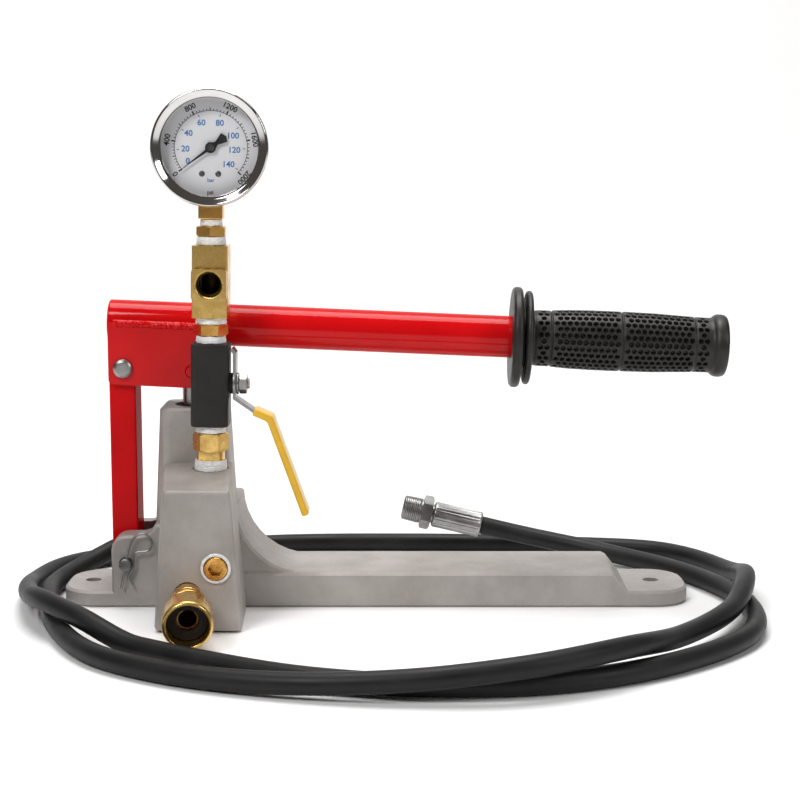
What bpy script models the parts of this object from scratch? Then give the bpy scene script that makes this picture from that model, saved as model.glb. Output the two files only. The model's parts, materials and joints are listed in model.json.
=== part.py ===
"""Hand-operated hydraulic test pump: sand-cast body, lever handle on a rocking link, plunger,
gauge column with shut-off valve and tee, swivel inlet, rear outlet and its hose.

Lengths are millimetres until new_object turns them into metres. +Z is up, the handle points
to +X and the inlet to -Y. The origin is on the floor, on the plunger's axis.
"""

import math

import bmesh
import bpy
from mathutils import Matrix, Vector

for leftover in list(bpy.data.objects):
    bpy.data.objects.remove(leftover, do_unlink=True)

MM = 0.001
GAP = 0.3

# Casting
BASE_HALF_WIDTH = 30.0
BASE_LEFT = -80.7
BASE_RIGHT = 301.0
BASE_THICK = 9.8
BASE_CORNER = 22.0
BEAM_TOP = 21.3
BEAM_END_TOP = 253.7
BEAM_END_FOOT = 268.6
FILLET_RADIUS = 42.0
FILLET_X = 68.5
EAR_LEFT = -49.0
EAR_TOP = 44.0
SLOT_HALF = 12.9
SLOT_FLOOR = 12.0
SLOT_RIGHT = -25.3
TOWER_TOP = 120.0
BORE_RADIUS = 8.5
BORE_FLOOR = 24.0
GLAND_BORE_RADIUS = 12.5
GLAND_BORE_FLOOR = 96.0
FOOT_HOLE_RADIUS = 4.75
FOOT_HOLES_X = (-65.0, 280.0)

# Moving linkage: A joins link and handle, B joins link and casting, P joins handle and plunger
PIN_A = (-41.6, 143.7)
PIN_B = (-40.2, 27.0)
PIN_P = (0.0, 141.8)
PIN_HOLE_RADIUS = 4.3
LINK_X = -42.8
LINK_HALF_X = 7.95
LINK_HALF_Y = 12.3
CHEEK_INNER = 13.0
CHEEK_OUTER = 16.0
PLUNGER_RADIUS = 8.0
EYE_RADIUS = 12.2
EYE_HALF = 7.0

# Handle
TUBE_END = (-51.5, 0.0, 171.3)
TUBE_SLOPE = math.radians(2.42)
TUBE_RADIUS = 12.7
TUBE_BORE = 10.7
TUBE_LENGTH = 369.0

# Gauge column, which leans a little on its pipe threads
COLUMN_FOOT = (12.2, -34.0, 85.4)
COLUMN_LEAN = math.radians(1.0)

# Inlet and plug on the front face
FACE_Y = -88.0
FACE_LEAN = 4.0 / 82.0
INLET_X = 3.6
INLET_Z = 21.5
INLET_DIRECTION = (0.113, -0.99, -0.0875)
PLUG_X = 19.8
PLUG_Z = 37.5

# Outlet and hose
OUTLET_Z = 31.0
OUTLET_FACE = 34.0
ELBOW_Y = 58.0
HOSE_RADIUS = 6.0


def material(name, colour, metallic, roughness):
    made = bpy.data.materials.new(name)
    made.use_nodes = True
    shader = made.node_tree.nodes["Principled BSDF"]
    shader.inputs["Base Color"].default_value = (*colour, 1.0)
    shader.inputs["Metallic"].default_value = metallic
    shader.inputs["Roughness"].default_value = roughness
    return made


CAST = material("cast_aluminium", (0.42, 0.40, 0.38), 0.6, 0.55)
RED = material("red_paint", (0.45, 0.01, 0.01), 0.0, 0.25)
BRASS = material("brass", (0.62, 0.42, 0.14), 1.0, 0.3)
VALVE = material("black_valve", (0.03, 0.03, 0.028), 0.2, 0.5)
ZINC = material("zinc_steel", (0.55, 0.55, 0.54), 1.0, 0.35)
CHROME = material("polished_steel", (0.7, 0.7, 0.7), 1.0, 0.1)
TAPE = material("thread_tape", (0.8, 0.8, 0.8), 0.0, 0.5)
RUBBER = material("black_rubber", (0.02, 0.02, 0.02), 0.0, 0.6)
VINYL = material("yellow_vinyl", (0.75, 0.55, 0.03), 0.0, 0.4)
DIAL = material("dial_face", (0.5, 0.5, 0.5), 0.0, 0.5)
GLASS = material("gauge_lens", (0.9, 0.95, 0.95), 0.0, 0.05)
NEEDLE = material("needle_black", (0.01, 0.01, 0.01), 0.0, 0.4)
HOSE = material("black_hose", (0.015, 0.015, 0.015), 0.0, 0.45)
SEAT = material("valve_seat", (0.75, 0.75, 0.72), 0.0, 0.5)


def frame_along(origin, direction, side=(1.0, 0.0, 0.0)):
    """The placing whose +Z points along direction, with +X as near to side as it can be."""
    z = Vector(direction).normalized()
    x = Vector(side)
    x = (x - z * x.dot(z)).normalized()
    y = z.cross(x)
    turned = Matrix((x, y, z)).transposed().to_4x4()
    return Matrix.Translation(Vector(origin)) @ turned


def new_object(name, vertices, faces, look, place=None):
    """A closed mesh object, smooth on its round faces and sharp at its edges."""
    shape = bmesh.new()
    points = [shape.verts.new(v) for v in vertices]
    for face in faces:
        shape.faces.new([points[i] for i in face])
    bmesh.ops.recalc_face_normals(shape, faces=shape.faces)
    scaled = Matrix.Scale(MM, 4) @ (place if place else Matrix.Identity(4))
    shape.transform(scaled)
    mesh = bpy.data.meshes.new(name)
    shape.to_mesh(mesh)
    shape.free()
    mesh.materials.append(look)
    mesh.shade_smooth()
    mesh.set_sharp_from_angle(angle=math.radians(30))
    made = bpy.data.objects.new(name, mesh)
    bpy.context.scene.collection.objects.link(made)
    return made


def lathe(name, profile, look, place=None, steps=24, ring=False):
    """Turns (radius, height) points about +Z. A ring's profile closes on itself, off the axis."""
    vertices = []
    rows = []
    for radius, height in profile:
        if radius == 0.0:
            rows.append([len(vertices)])
            vertices.append((0.0, 0.0, height))
            continue
        rows.append(list(range(len(vertices), len(vertices) + steps)))
        for i in range(steps):
            angle = math.tau * i / steps
            vertices.append((radius * math.cos(angle), radius * math.sin(angle), height))
    if ring:
        rows.append(rows[0])
    faces = []
    for low, high in zip(rows, rows[1:]):
        for i in range(steps):
            j = (i + 1) % steps
            if len(low) == 1 and len(high) == 1:
                continue
            if len(low) == 1:
                faces.append((low[0], high[i], high[j]))
            elif len(high) == 1:
                faces.append((low[i], low[j], high[0]))
            else:
                faces.append((low[i], low[j], high[j], high[i]))
    return new_object(name, vertices, faces, look, place)


def ring(name, inner, outer, low, high, look, place=None, steps=24, chamfer=0.0):
    profile = [(inner, low), (outer - chamfer, low)]
    if chamfer:
        profile.append((outer, low + chamfer))
        profile.append((outer, high - chamfer))
    else:
        profile.append((outer, low))
        profile.append((outer, high))
    profile.append((outer - chamfer, high))
    profile.append((inner, high))
    tidy = []
    for point in profile:
        if point not in tidy:
            tidy.append(point)
    return lathe(name, tidy, look, place, steps, ring=True)


def rod(name, radius, low, high, look, place=None, steps=24, chamfer=0.0):
    profile = [(0.0, low)]
    if chamfer:
        profile += [(radius - chamfer, low), (radius, low + chamfer)]
        profile += [(radius, high - chamfer), (radius - chamfer, high)]
    else:
        profile += [(radius, low), (radius, high)]
    profile.append((0.0, high))
    return lathe(name, profile, look, place, steps)


def stepped(name, steps, place, sides=18):
    """A cutter of stacked cylinders on one axis, each (radius, low, high)."""
    profile = [(0.0, steps[0][1])]
    for radius, low, high in steps:
        profile += [(radius, low), (radius, high)]
    profile.append((0.0, steps[-1][2]))
    return lathe(name, profile, CAST, place, sides)


def prism(name, outline, low, high, look, place=None):
    """The outline's (x, y) points run from z = low to z = high."""
    count = len(outline)
    vertices = [(x, y, low) for x, y in outline] + [(x, y, high) for x, y in outline]
    faces = [tuple(range(count)), tuple(range(count, 2 * count))]
    for i in range(count):
        j = (i + 1) % count
        faces.append((i, j, count + j, count + i))
    return new_object(name, vertices, faces, look, place)


# Maps an outline drawn in the casting's X-Z plane, and extruded along Y, into the world
SIDE_VIEW = Matrix(((1, 0, 0, 0), (0, 0, -1, 0), (0, 1, 0, 0), (0, 0, 0, 1)))


def side_prism(name, outline, near, far, look, place=None):
    """An outline of (x, z) points between y = near and y = far."""
    placed = place @ SIDE_VIEW if place else SIDE_VIEW
    return prism(name, outline, -far, -near, look, placed)


def loft(name, loops, look, place=None):
    """Joins loops of equal length, each a closed row of 3D points, and caps both ends."""
    count = len(loops[0])
    vertices = [point for loop in loops for point in loop]
    faces = [tuple(range(count)), tuple(range(len(vertices) - count, len(vertices)))]
    for k in range(len(loops) - 1):
        for i in range(count):
            j = (i + 1) % count
            low = k * count
            faces.append((low + i, low + j, low + count + j, low + count + i))
    return new_object(name, vertices, faces, look, place)


def arc(x, y, radius, start, end, steps):
    """Points on a circle from start to end, in degrees."""
    points = []
    for i in range(steps + 1):
        angle = math.radians(start + (end - start) * i / steps)
        points.append((x + radius * math.cos(angle), y + radius * math.sin(angle)))
    return points


def rounded_box(x0, x1, y0, y1, radius, steps=3):
    points = arc(x1 - radius, y0 + radius, radius, -90, 0, steps)
    points += arc(x1 - radius, y1 - radius, radius, 0, 90, steps)
    points += arc(x0 + radius, y1 - radius, radius, 90, 180, steps)
    points += arc(x0 + radius, y0 + radius, radius, 180, 270, steps)
    return points


def hexagon(across_flats, turn=0.0):
    radius = across_flats / math.sqrt(3.0)
    return arc(0.0, 0.0, radius, turn, turn + 300.0, 5)


def ribbon(points, half):
    """The outline of a strip of thickness 2 * half along a bent line of (x, z) points."""
    left = []
    right = []
    for i, point in enumerate(points):
        here = Vector(point)
        before = Vector(points[max(i - 1, 0)])
        after = Vector(points[min(i + 1, len(points) - 1)])
        into = (here - before) if i else (after - here)
        out = (after - here) if i < len(points) - 1 else into
        into = into.normalized()
        out = out.normalized()
        normal = Vector((-into.y - out.y, into.x + out.x)).normalized()
        reach = half / max(0.3, normal.dot(Vector((-into.y, into.x))))
        left.append(tuple(here + normal * reach))
        right.append(tuple(here - normal * reach))
    return left + right[::-1]


def wire(name, points, radius, look, sides=2):
    """A round wire along points, given in millimetres."""
    curve = bpy.data.curves.new(name, "CURVE")
    curve.dimensions = "3D"
    spline = curve.splines.new("POLY")
    spline.points.add(len(points) - 1)
    for target, point in zip(spline.points, points):
        target.co = (point[0] * MM, point[1] * MM, point[2] * MM, 1.0)
    curve.bevel_depth = radius * MM
    curve.bevel_resolution = sides
    curve.use_fill_caps = True
    spline.use_smooth = True
    curve.materials.append(look)
    made = bpy.data.objects.new(name, curve)
    bpy.context.scene.collection.objects.link(made)
    return made


def apply_boolean(target, other, operation):
    step = target.modifiers.new(other.name, "BOOLEAN")
    step.operation = operation
    step.solver = "EXACT"
    step.object = other
    other.hide_render = True
    other.display_type = "WIRE"


def cut(target, *cutters):
    for cutter in cutters:
        apply_boolean(target, cutter, "DIFFERENCE")


def join(target, *others):
    for other in others:
        apply_boolean(target, other, "UNION")


def bevel(target, width, segments=2):
    step = target.modifiers.new("rounding", "BEVEL")
    step.width = width * MM
    step.segments = segments
    step.limit_method = "ANGLE"
    step.angle_limit = math.radians(40)


UP = Matrix.Identity(4)


def along_y(x, z, start=0.0):
    """Placing for pieces on an axis that runs towards +Y."""
    return frame_along((x, start, z), (0.0, 1.0, 0.0))


def face_point(x, z):
    """A point on the front block's leaning front face."""
    return (x, FACE_Y + FACE_LEAN * z, z)


# ---------------------------------------------------------------- casting

def make_casting():
    plate = rounded_box(BASE_LEFT, BASE_RIGHT, -BASE_HALF_WIDTH, BASE_HALF_WIDTH, BASE_CORNER, 6)
    casting = prism("body_casting", plate, 0.0, BASE_THICK, CAST)
    bevel(casting, 1.5, 1)

    beam_outline = [(-10.0, 2.0), (BEAM_END_FOOT, 2.0), (BEAM_END_TOP, BEAM_TOP)]
    beam_outline += [(-10.0, BEAM_TOP)]
    beam = side_prism("beam", beam_outline, -BASE_HALF_WIDTH, BASE_HALF_WIDTH, CAST)
    bevel(beam, 1.8, 1)

    web_z = BEAM_TOP + FILLET_RADIUS - 0.6
    web_outline = arc(FILLET_X, web_z, FILLET_RADIUS, 270, 180, 9)
    web_outline += [(8.0, web_z), (8.0, 15.0), (FILLET_X, 15.0)]
    web = side_prism("web", web_outline, -28.0, 28.0, CAST)
    bevel(web, 1.5, 1)

    ear_outline = [(-12.0, 2.0), (-12.0, EAR_TOP + 7.0), (-22.5, EAR_TOP + 7.0)]
    ear_outline += arc(-30.5, EAR_TOP + 8.0, 8.0, 0, -90, 3)[1:]
    ear_outline += arc(EAR_LEFT + 9.0, EAR_TOP - 9.0, 9.0, 90, 180, 4)
    ear_outline += [(EAR_LEFT, 2.0)]
    ears = side_prism("ears", ear_outline, -BASE_HALF_WIDTH, 24.0, CAST)
    bevel(ears, 1.5, 1)

    low = rounded_box(-25.5, 25.5, -28.0, 30.0, 9.0)
    high = rounded_box(-20.3, 20.0, -20.3, 22.3, 8.0)
    top = rounded_box(-18.8, 18.5, -18.8, 20.8, 6.6)
    tower = loft(
        "tower",
        [
            [(x, y, 1.5) for x, y in low],
            [(x, y, TOWER_TOP - 1.5) for x, y in high],
            [(x, y, TOWER_TOP) for x, y in top],
        ],
        CAST,
    )

    block_floor = [(-16.0, -88.0, 0.3), (34.5, -88.0, 0.3), (32.0, -15.0, 0.3), (-21.0, -15.0, 0.3)]
    block_top = [(-10.4, -84.0, 82.0), (28.1, -84.0, 82.0), (23.9, -15.0, 87.7), (-18.6, -15.0, 87.7)]
    block = loft("front_block", [block_floor, block_top], CAST)
    bevel(block, 3.0, 2)

    boss = rod("outlet_boss", 13.0, 10.0, OUTLET_FACE, CAST, along_y(0.0, OUTLET_Z), 32, 1.0)
    join(casting, beam, web, ears, tower, block, boss)

    slot_outline = [(-60.0, SLOT_FLOOR), (SLOT_RIGHT, SLOT_FLOOR), (SLOT_RIGHT, 70.0), (-60.0, 70.0)]
    slot = side_prism("clevis_slot", slot_outline, -SLOT_HALF, SLOT_HALF, CAST)
    cut(casting, slot, stepped("plunger_bore", [(BORE_RADIUS, BORE_FLOOR, GLAND_BORE_FLOOR),
                                                (GLAND_BORE_RADIUS, GLAND_BORE_FLOOR, 130.0)], UP))
    cut(
        casting,
        stepped("inlet_port", [(2.5, -84.0, -26.0), (4.75, -26.0, -14.0), (8.1, -14.0, 12.0)], inlet_frame()),
        stepped("plug_port", [(7.1, -9.0, 10.0)], plug_frame()),
        rod("gallery", 2.5, -80.0, 21.5, CAST, along_y(16.0, 36.0), 16),
        rod("cross_drilling", 2.4, -1.0, 17.5, CAST, frame_along((0.0, 20.1, 34.1), (1, 0, 0), (0, 0, 1)), 14),
        stepped("outlet_port", [(2.5, 5.0, 14.0), (5.0, 14.0, 26.0), (6.8, 26.0, 40.0)], along_y(0.0, OUTLET_Z)),
        stepped(
            "column_port",
            [(4.4, -52.3, -14.5), (8.7, -14.5, 0.0), (10.8, 0.0, 20.0)],
            Matrix.Translation(COLUMN_FOOT),
        ),
        rod("pin_b_hole", 4.1, -40.0, 40.0, CAST, along_y(*PIN_B), 24),
    )
    for i, x in enumerate(FOOT_HOLES_X):
        cut(casting, rod(f"foot_hole_{i}", FOOT_HOLE_RADIUS, -5.0, 20.0, CAST, Matrix.Translation((x, 0, 0)), 24))


def inlet_frame():
    """On the front face, +Z along the inlet and out of the body."""
    return frame_along(face_point(INLET_X, INLET_Z), INLET_DIRECTION)


def plug_frame():
    return frame_along(face_point(PLUG_X, PLUG_Z), (0.0, -1.0, FACE_LEAN))


# ---------------------------------------------------------------- plunger, gland, check balls

def make_plunger():
    ring("rod_packing", 8.25, 12.15, 96.4, 105.6, RUBBER)
    ring("gland_nut", 8.4, 12.15, 106.0, 114.5, ZINC, None, 24, 0.6)
    plunger = rod("plunger", PLUNGER_RADIUS, 34.0, 134.0, CHROME, None, 28, 1.0)
    eye = rod("eye", EYE_RADIUS, -EYE_HALF, EYE_HALF, CHROME, along_y(*PIN_P), 30, 0.8)
    slot = arc(2.2, 0.0, 5.3, -90, 90, 8) + arc(-2.2, 0.0, 5.3, 90, 270, 8)
    slot = [(PIN_P[0] + x, PIN_P[1] + z) for x, z in slot]
    join(plunger, eye)
    cut(plunger, side_prism("eye_slot", slot, -12.0, 12.0, CHROME))


def make_check_balls():
    inlet = inlet_frame()
    rod_like = sphere_profile(4.0)
    lathe("inlet_check_ball", rod_like, ZINC, inlet @ Matrix.Translation((0, 0, -16.6)), 14)
    place = along_y(0.0, OUTLET_Z) @ Matrix.Translation((0, 0, 16.9))
    lathe("outlet_check_ball", sphere_profile(3.5), ZINC, place, 14)


def sphere_profile(radius, steps=8):
    points = [(0.0, -radius)]
    for i in range(1, steps):
        angle = math.radians(-90 + 180 * i / steps)
        points.append((radius * math.cos(angle), radius * math.sin(angle)))
    points.append((0.0, radius))
    return points


# ---------------------------------------------------------------- inlet and plug

def make_inlet():
    inlet = inlet_frame()
    adapter = [
        (2.6, -13.2), (7.0, -13.2), (7.7, -12.4), (7.7, 1.6), (8.4, 2.2), (8.4, 9.0),
        (10.0, 10.4), (10.0, 13.4), (8.5, 14.8), (8.5, 16.4), (11.2, 17.8), (11.2, 21.4),
        (9.4, 22.8), (9.4, 24.4), (12.1, 25.8), (12.1, 29.6), (9.9, 31.0), (9.9, 34.1),
        (11.5, 34.1), (11.5, 37.6), (5.0, 37.6), (5.0, -6.0), (2.6, -8.0),
    ]
    lathe("inlet_adapter", adapter, BRASS, inlet, 20, ring=True)
    # The collar's lip sits behind the adapter's last shoulder, so it turns but can't come off
    nut = [
        (10.3, 31.4), (13.2, 31.4), (14.1, 32.4), (14.1, 48.8), (13.2, 50.0), (11.9, 50.0),
        (11.9, 33.8), (10.3, 33.8),
    ]
    lathe("inlet_swivel_nut", nut, BRASS, inlet, 30, ring=True)
    ring("inlet_washer", 6.2, 11.5, 37.95, 40.6, RUBBER, inlet)


def make_plug():
    place = plug_frame()
    plug = rod("front_plug", 6.7, -8.0, 2.0, BRASS, place, 32, 0.6)
    cut(plug, prism("plug_socket", hexagon(7.6), -3.5, 4.0, BRASS, place))
    ring("front_plug_tape", 7.0 + GAP, 8.7, 0.4, 1.6, TAPE, place, 28, 0.3)


# ---------------------------------------------------------------- gauge column

def column(height):
    """Placing on the leaning column's axis at a height above the floor."""
    lean = Matrix.Rotation(COLUMN_LEAN, 4, "Y")
    up = (height - COLUMN_FOOT[2]) / math.cos(COLUMN_LEAN)
    return Matrix.Translation(COLUMN_FOOT) @ lean @ Matrix.Translation((0, 0, up))


def tape_ring(name, inner, outer, low, high):
    """Thread tape squeezed into a few uneven ridges."""
    tall = high - low
    profile = [
        (inner, GAP), (outer - 0.5, GAP), (outer, 0.3 * tall), (outer - 0.4, 0.55 * tall),
        (outer - 0.2, 0.75 * tall), (inner, tall - GAP),
    ]
    lathe(name, profile, TAPE, column(low), 18, ring=True)


def make_column():
    tape_ring("base_tape", 8.3, 9.9, 85.4, 91.9)
    nipple = lathe(
        "lower_nipple",
        [
            (0.0, -14.0), (7.4, -14.0), (8.0, -13.0), (8.0, 6.4), (8.25, 6.5), (8.25, 16.0),
            (7.4, 16.2), (7.4, 34.0), (0.0, 34.0),
        ],
        BRASS,
        column(85.4),
    )
    hexed = prism("nipple_hex", hexagon(18.6, 30), 11.6, 22.5, BRASS, column(85.4))
    join(nipple, hexed)
    cut(nipple, rod("nipple_bore", 4.0, -20.0, 40.0, BRASS, column(85.4), 24))
    tape_ring("valve_tape_lower", 7.7, 9.3, 107.9, 112.1)

    body = prism("valve_body", rounded_box(-11.2, 11.2, -11.2, 11.2, 4.0, 3), 0.0, 49.2, VALVE, column(112.1))
    bevel(body, 1.2, 2)
    boss = rod("stem_boss", 6.2, 5.0, 13.2, VALVE, stem_frame(), 24, 0.4)
    join(body, boss)
    waterway = [(7.75, -5.0, 9.0), (6.6, 9.0, 14.0), (9.0, 14.0, 36.2), (6.6, 36.2, 40.5), (7.75, 40.5, 55.0)]
    cut(
        body,
        stepped("valve_waterway", waterway, column(112.1)),
        rod("stem_hole", 3.6, 2.0, 20.0, VALVE, stem_frame(), 24),
    )
    ring("lower_seat", 4.5, 8.6, 14.4, 19.4, SEAT, column(112.1), 24)
    ring("upper_seat", 4.5, 8.6, 30.9, 35.8, SEAT, column(112.1), 24)
    ball = lathe("valve_ball", sphere_profile(6.9, 10), CHROME, column(137.3), 20)
    cut(ball, rod("ball_port", 3.6, -10.0, 10.0, CHROME, column(137.3), 24))
    rod("valve_stem", 3.2, 7.4, 22.7, VALVE, stem_frame(), 20, 0.4)

    tape_ring("valve_tape_upper", 7.7, 9.2, 161.3, 165.7)
    nipple = prism("hex_nipple", hexagon(17.4, 30), 0.0, 6.8, BRASS, column(165.7))
    join(
        nipple,
        rod("nipple_low_thread", 7.4, -12.0, 1.0, BRASS, column(165.7)),
        rod("nipple_high_thread", 7.4, 5.8, 19.0, BRASS, column(165.7)),
    )
    cut(nipple, rod("hex_nipple_bore", 4.0, -20.0, 30.0, BRASS, column(165.7), 24))
    tape_ring("tee_tape_lower", 7.7, 9.4, 172.5, 176.4)

    tee = prism("tee_body", rounded_box(-10.5, 10.5, -10.5, 10.5, 1.5, 2), 0.0, 42.2, BRASS, column(176.4))
    branch = prism(
        "tee_branch",
        rounded_box(-10.3, 10.3, -9.4, 8.9, 1.8, 2),
        0.0,
        15.5,
        BRASS,
        column(196.4) @ frame_along((0, 0, 0), (0, -1, 0)),
    )
    join(tee, branch)
    cut(
        tee,
        stepped("tee_run", [(7.75, -5.0, 12.0), (6.0, 12.0, 31.0), (7.75, 31.0, 50.0)], column(176.4)),
        lathe(
            "tee_front_port",
            [(0.0, 3.0), (6.5, 3.0), (6.5, 9.5), (7.3, 9.5), (7.3, 14.7), (8.8, 16.2), (0.0, 16.2)],
            BRASS,
            column(196.4) @ frame_along((0, 0, 0), (0, -1, 0)),
        ),
    )
    tape_ring("tee_tape_upper", 7.7, 9.1, 218.6, 223.8)
    bushing = prism("hex_bushing", hexagon(16.6, 0), 0.0, 5.9, BRASS, column(223.8))
    bevel(bushing, 0.4, 1)
    join(bushing, rod("bushing_thread", 7.4, -12.5, 1.0, BRASS, column(223.8)))
    cut(bushing, rod("bushing_bore", 5.7, -20.0, 20.0, BRASS, column(223.8)))
    tape_ring("gauge_tape", 5.7, 7.0, 229.7, 233.7)


def stem_frame():
    """+Z along the valve stem, which points at the handle side."""
    return column(137.3) @ frame_along((0, 0, 0), (1, 0, 0), (0, 0, 1))


def make_lever():
    lean = column(137.3) @ SIDE_VIEW
    line = [(12.3, 21.0), (14.3, 18.4), (14.3, -8.2), (26.0, -16.1), (35.4, -19.9), (56.0, -74.6)]
    lever = prism("valve_lever", ribbon(line, 0.85), -6.5, 6.5, ZINC, lean)
    pad = rod("lever_pad", 8.6, 13.45, 15.15, ZINC, stem_frame(), 32)
    join(lever, pad)
    cut(lever, rod("lever_hole", 3.5, 5.0, 25.0, ZINC, stem_frame(), 24))
    grip = [(25.6, -15.9), (35.4, -19.9), (57.2, -77.6)]
    sleeve = prism("lever_sleeve", ribbon(grip, 2.2), -8.2, 8.2, VINYL, lean)
    bevel(sleeve, 1.2, 2)
    pocket = [(20.0, -12.0), (26.0, -16.1), (35.4, -19.9), (56.3, -75.4)]
    cut(sleeve, prism("sleeve_pocket", ribbon(pocket, 1.15), -6.8, 6.8, VINYL, lean))
    ring("lever_washer", 3.5, 6.4, 15.45, 16.6, ZINC, stem_frame(), 24)
    nut = prism("lever_nut", hexagon(10.6, 30), 16.9, 21.4, ZINC, stem_frame())
    cut(nut, rod("lever_nut_hole", 3.5, 10.0, 30.0, ZINC, stem_frame(), 24))


def gauge_frame():
    """At the dial's centre, +Z towards the reader, +X to the reader's right."""
    return column(275.0) @ frame_along((0, 0, 0), (0, -1, 0))


def make_gauge():
    socket = prism("gauge_socket", rounded_box(-7.1, 7.1, -7.1, 7.1, 0.8, 1), 0.0, 9.9, BRASS, column(233.9))
    join(
        socket,
        rod("gauge_thread", 5.4, -12.0, 1.0, BRASS, column(233.9)),
        prism("socket_post", rounded_box(-4.0, 4.0, -2.7, 7.0, 0.8, 1), 9.0, 18.0, BRASS, column(233.9)),
    )
    cut(socket, rod("gauge_drilling", 2.0, -20.0, 12.0, BRASS, column(233.9), 16))
    place = gauge_frame()
    case = lathe(
        "gauge_case",
        [
            (0.0, -12.5), (28.5, -12.5), (31.0, -11.4), (32.0, -9.0), (32.0, 9.0), (30.4, 9.0),
            (30.4, -8.0), (27.8, -10.6), (0.0, -10.6),
        ],
        CHROME,
        place,
        36,
    )
    cut(case, prism("case_socket_hole", rounded_box(-7.5, 7.5, -7.5, 7.5, 0.8, 1), -6.0, 14.0, CHROME, column(233.9)))
    lathe(
        "gauge_bezel",
        [
            (32.4, 7.8), (33.4, 7.8), (34.0, 8.4), (34.0, 10.5), (33.2, 12.6), (31.4, 14.2),
            (29.6, 14.6), (28.4, 13.6), (28.0, 12.3), (30.6, 12.3), (30.6, 9.4), (32.4, 9.4),
        ],
        CHROME,
        place,
        36,
        ring=True,
    )
    rod("gauge_lens", 30.2, 9.7, 11.9, GLASS, place, 40)
    dial = rod("gauge_dial", 30.0, 3.0, 3.8, DIAL, place, 40)
    cut(dial, rod("dial_hole", 2.2, 0.0, 10.0, DIAL, place, 16))
    coil = []
    for i in range(19):
        angle = math.radians(-70 + 15 * i)
        coil.append(place @ Vector((20.0 * math.cos(angle), 20.0 * math.sin(angle), -3.4)))
    wire("bourdon_tube", coil, 2.2, BRASS, 2)

    aim = math.radians(217.0)
    turned = place @ Matrix.Rotation(aim, 4, "Z")
    blade = [
        (25.6, 0.0), (3.4, 0.95), (2.4, 2.0), (-1.6, 1.8), (-5.0, 1.5), (-10.2, 3.6), (-12.2, 0.0),
        (-10.2, -3.6), (-5.0, -1.5), (-1.6, -1.8), (2.4, -2.0), (3.4, -0.95),
    ]
    needle = prism("gauge_needle", blade, 5.4, 5.9, NEEDLE, turned)
    spindle = rod("needle_spindle", 1.8, -6.0, 6.0, NEEDLE, place, 16)
    join(needle, spindle)
    rod("needle_hub", 3.2, 6.2, 7.2, ZINC, place, 24, 0.4)


# ---------------------------------------------------------------- linkage and handle

def make_link():
    corner = 2.0
    outline = rounded_box(LINK_X - LINK_HALF_X, LINK_X + LINK_HALF_X, 18.4, 155.0, corner, 3)
    link = side_prism("link_arm", outline, -LINK_HALF_Y, LINK_HALF_Y, RED)
    bevel(link, 0.8, 1)
    cut(
        link,
        rod("link_hole_a", PIN_HOLE_RADIUS, -20.0, 20.0, RED, along_y(*PIN_A), 24),
        rod("link_hole_b", PIN_HOLE_RADIUS, -20.0, 20.0, RED, along_y(*PIN_B), 24),
    )

    profile = [(0.0, -35.0), (3.15, -35.0), (3.75, -34.4), (3.75, 24.4), (6.0, 24.4), (6.0, 26.8), (5.4, 27.4)]
    pin = lathe("lower_pin", profile + [(0.0, 27.4)], ZINC, along_y(*PIN_B), 20)
    clip_y = -33.0
    leg = frame_along((PIN_B[0] + 0.3, clip_y, PIN_B[1]), (0.19, 0.0, 0.98))
    cut(pin, rod("clip_hole", 1.05, -10.0, 10.0, ZINC, leg, 12))
    path = [
        (-2.7, -14.6), (-0.55, -4.6), (0.3, 0.0), (1.15, 4.4), (2.4, 9.4), (4.6, 14.8), (6.7, 17.4),
        (10.2, 19.0), (13.6, 18.0), (15.7, 15.1), (15.9, 11.7), (14.4, 8.9), (11.3, 8.0), (8.0, 7.8),
        (5.9, 6.6), (5.2, 4.4), (5.4, 1.6), (5.2, -1.0), (3.8, -3.8), (2.0, -7.0), (2.5, -9.8), (4.2, -12.8),
    ]
    wire("hitch_clip", [(PIN_B[0] + x, clip_y, PIN_B[1] + z) for x, z in path], 0.7, ZINC, 1)

    profile = [(0.0, -19.4), (3.9, -19.4), (5.7, -18.3), (5.7, -16.3), (4.0, -16.3), (4.0, 18.5), (3.5, 19.0)]
    lathe("upper_pin", profile + [(0.0, 19.0)], ZINC, along_y(*PIN_A), 28)
    ring("upper_pin_clip", 4.3, 6.4, 16.4, 17.6, ZINC, along_y(*PIN_A), 24)


def make_eye_pin():
    """Flush with the front cheek; shoulders on it keep the plunger's eye centred between the cheeks."""
    profile = [
        (0.0, -CHEEK_OUTER), (3.7, -CHEEK_OUTER), (4.0, -CHEEK_OUTER + 0.3), (4.0, -12.7), (6.2, -12.7),
        (6.2, -7.4), (4.0, -7.4), (4.0, 7.4), (6.2, 7.4), (6.2, 12.7), (4.0, 12.7), (4.0, 18.5), (3.5, 19.0),
        (0.0, 19.0),
    ]
    lathe("eye_pin", profile, ZINC, along_y(*PIN_P), 20)
    ring("eye_pin_clip", 4.3, 6.4, 16.4, 17.6, ZINC, along_y(*PIN_P), 24)


def tube_frame():
    """At the closed end of the handle tube, +Z along it towards the grip."""
    direction = (math.cos(TUBE_SLOPE), 0.0, -math.sin(TUBE_SLOPE))
    return frame_along(TUBE_END, direction, (0.0, 0.0, 1.0))


def tube_height(x):
    return TUBE_END[2] - math.tan(TUBE_SLOPE) * (x - TUBE_END[0])


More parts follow.
